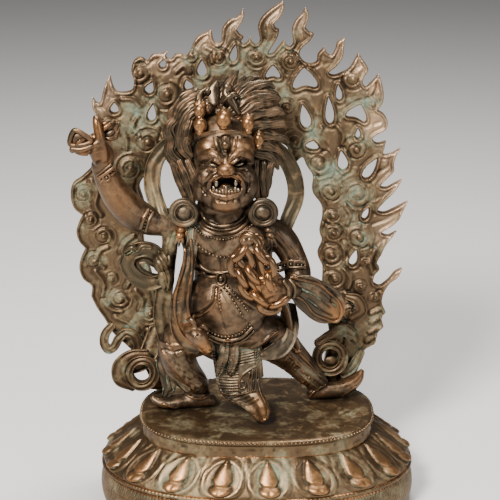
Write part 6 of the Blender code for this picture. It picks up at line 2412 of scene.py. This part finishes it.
    def noose(self) -> Shape:
        """Makes the looped chain with its flaming jewel and the rod below the fist.

        Returns:
            The shape.
        """
        long, wide, thick = self.link_size
        turn = 2 * np.pi * np.arange(16) / 16
        ring = [(long * math.cos(a), wide * math.sin(a), 0, thick) for a in turn]
        link = Shape().sweep(ring, sides=12, step=0.5, facing=(0, 0, 1), closed=True)
        shape = Shape()
        for name, rows in self.strings:
            shape.join(repeat_along(name, spline(seen(rows), 0.8)[:, :3], link, self.link_pitch, False, roll=90))
        for px, tall, lean in self.jewel_flames:
            rows = ((px, 246, -11.4, 1.0, 0.8), (px + lean * 0.8, 246 - tall * 0.45, -11.8, 1.25, 0.8),
                    (px + lean, 246 - tall, -11.8, 0.2, 0.2))
            shape.sweep(seen(rows), Section.BLADE, 18, 0.3)
        shape.blob(PHOTO.place(250, 241, -12.2), (1.2, 1.0, 1.4), sides=20)
        shape.sweep(seen(self.rod), sides=16, step=0.5)
        return shape.blob(PHOTO.place(297, 350, 2.2), (1.5, 1.5, 1.2), sides=18)

    def pieces(self) -> Iterator[Casting]:
        """Makes the regalia.

        Returns:
            The castings, one after the other.
        """
        yield Casting("earrings", self.earrings(), CAST_CLOTH, Node.FIGURE, 8, 1.6)
        yield Casting("vajra", self.vajra(), CAST_HAIR, Node.FIGURE, 8, 2.6)
        yield Casting("noose", self.noose(), WORN_METAL, Node.FIGURE, 8, 1.3)


# Studio


@dataclass
class Studio:
    """Plain pale floor, soft lights and the photograph's camera."""

    floor: Colour = (0.62, 0.61, 0.595)
    floor_roughness: float = 0.8
    floor_reach: float = 3.0
    sky: Colour = (0.80, 0.83, 0.88)
    sky_strength: float = 0.15
    aim: tuple[float, float, float] = (0, 0, 0.07)
    # Name, place in metres, side in metres, watts and colour.
    softboxes: tuple[tuple[str, Row, float, float, Colour], ...] = (
        ("key_softbox", (-0.22, -0.46, 0.50), 0.15, 11.5, (1.0, 0.97, 0.92)),
        ("fill_softbox", (0.50, -0.40, 0.28), 0.30, 1.5, (0.92, 0.96, 1.0)),
        ("top_softbox", (0.05, 0.12, 0.60), 0.22, 4.6, (1.0, 0.98, 0.95)),
    )

    def light(self, name: str, place: Row, width: float, watts: float, colour: Colour) -> None:
        """Adds one softbox that looks at the statue.

        Args:
            name: Its name.
            place: Where it stands, in metres.
            width: Its side, in metres.
            watts: Its power.
            colour: Its colour.
        """
        lamp = bpy.data.lights.new(name, "AREA")
        lamp.shape = "SQUARE"
        lamp.size = width
        lamp.energy = watts
        lamp.color = colour
        item = bpy.data.objects.new(name, lamp)
        item.location = place
        item.rotation_euler = (Vector(self.aim) - Vector(place)).to_track_quat("-Z", "Y").to_euler()
        bpy.context.scene.collection.objects.link(item)

    def build(self) -> None:
        """Makes the floor, the sky, the lights and the camera."""
        mesh = bpy.data.meshes.new("studio_floor")
        reach = self.floor_reach
        corners = [(x * reach, y * reach, 0) for x, y in ((-1, -1), (1, -1), (1, 1), (-1, 1))]
        mesh.from_pydata(corners, [], [(0, 1, 2, 3)])
        paint = bpy.data.materials.new("studio_floor")
        paint.use_nodes = True
        shader = paint.node_tree.nodes["Principled BSDF"]
        shader.inputs["Base Color"].default_value = (*self.floor, 1)
        shader.inputs["Roughness"].default_value = self.floor_roughness
        mesh.materials.append(paint)
        item = bpy.data.objects.new("studio_floor", mesh)
        bpy.context.scene.collection.objects.link(item)
        item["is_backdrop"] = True
        world = bpy.data.worlds.new("studio")
        world.use_nodes = True
        background = world.node_tree.nodes["Background"]
        background.inputs["Color"].default_value = (*self.sky, 1)
        background.inputs["Strength"].default_value = self.sky_strength
        bpy.context.scene.world = world
        for softbox in self.softboxes:
            self.light(*softbox)
        PHOTO.build()


def main() -> None:
    """Builds every piece around the frame and reports it."""
    logging.basicConfig(level=logging.INFO, format="%(name)s: %(message)s")
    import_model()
    solid_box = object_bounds()
    foundry = Foundry()
    low, high = (np.array(corner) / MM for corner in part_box(Node.BASE.value[0]))
    for part in (LotusBase((low, high)), FlameAureole(), Head(), Hair(), Body(), Garments(), Scarves(), Regalia()):
        for casting in part.pieces():
            LOG.info("%s: %s with %d points", type(part).__name__, casting.name, len(casting.shape.points))
            foundry.castings.append(casting)
    foundry.pour()
    Studio().build()
    boxes = {"solids": solid_box, "looks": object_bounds()}
    {name: [list(corner) for corner in box] for name, box in boxes.items()}


if __name__ == "__main__":
    main()
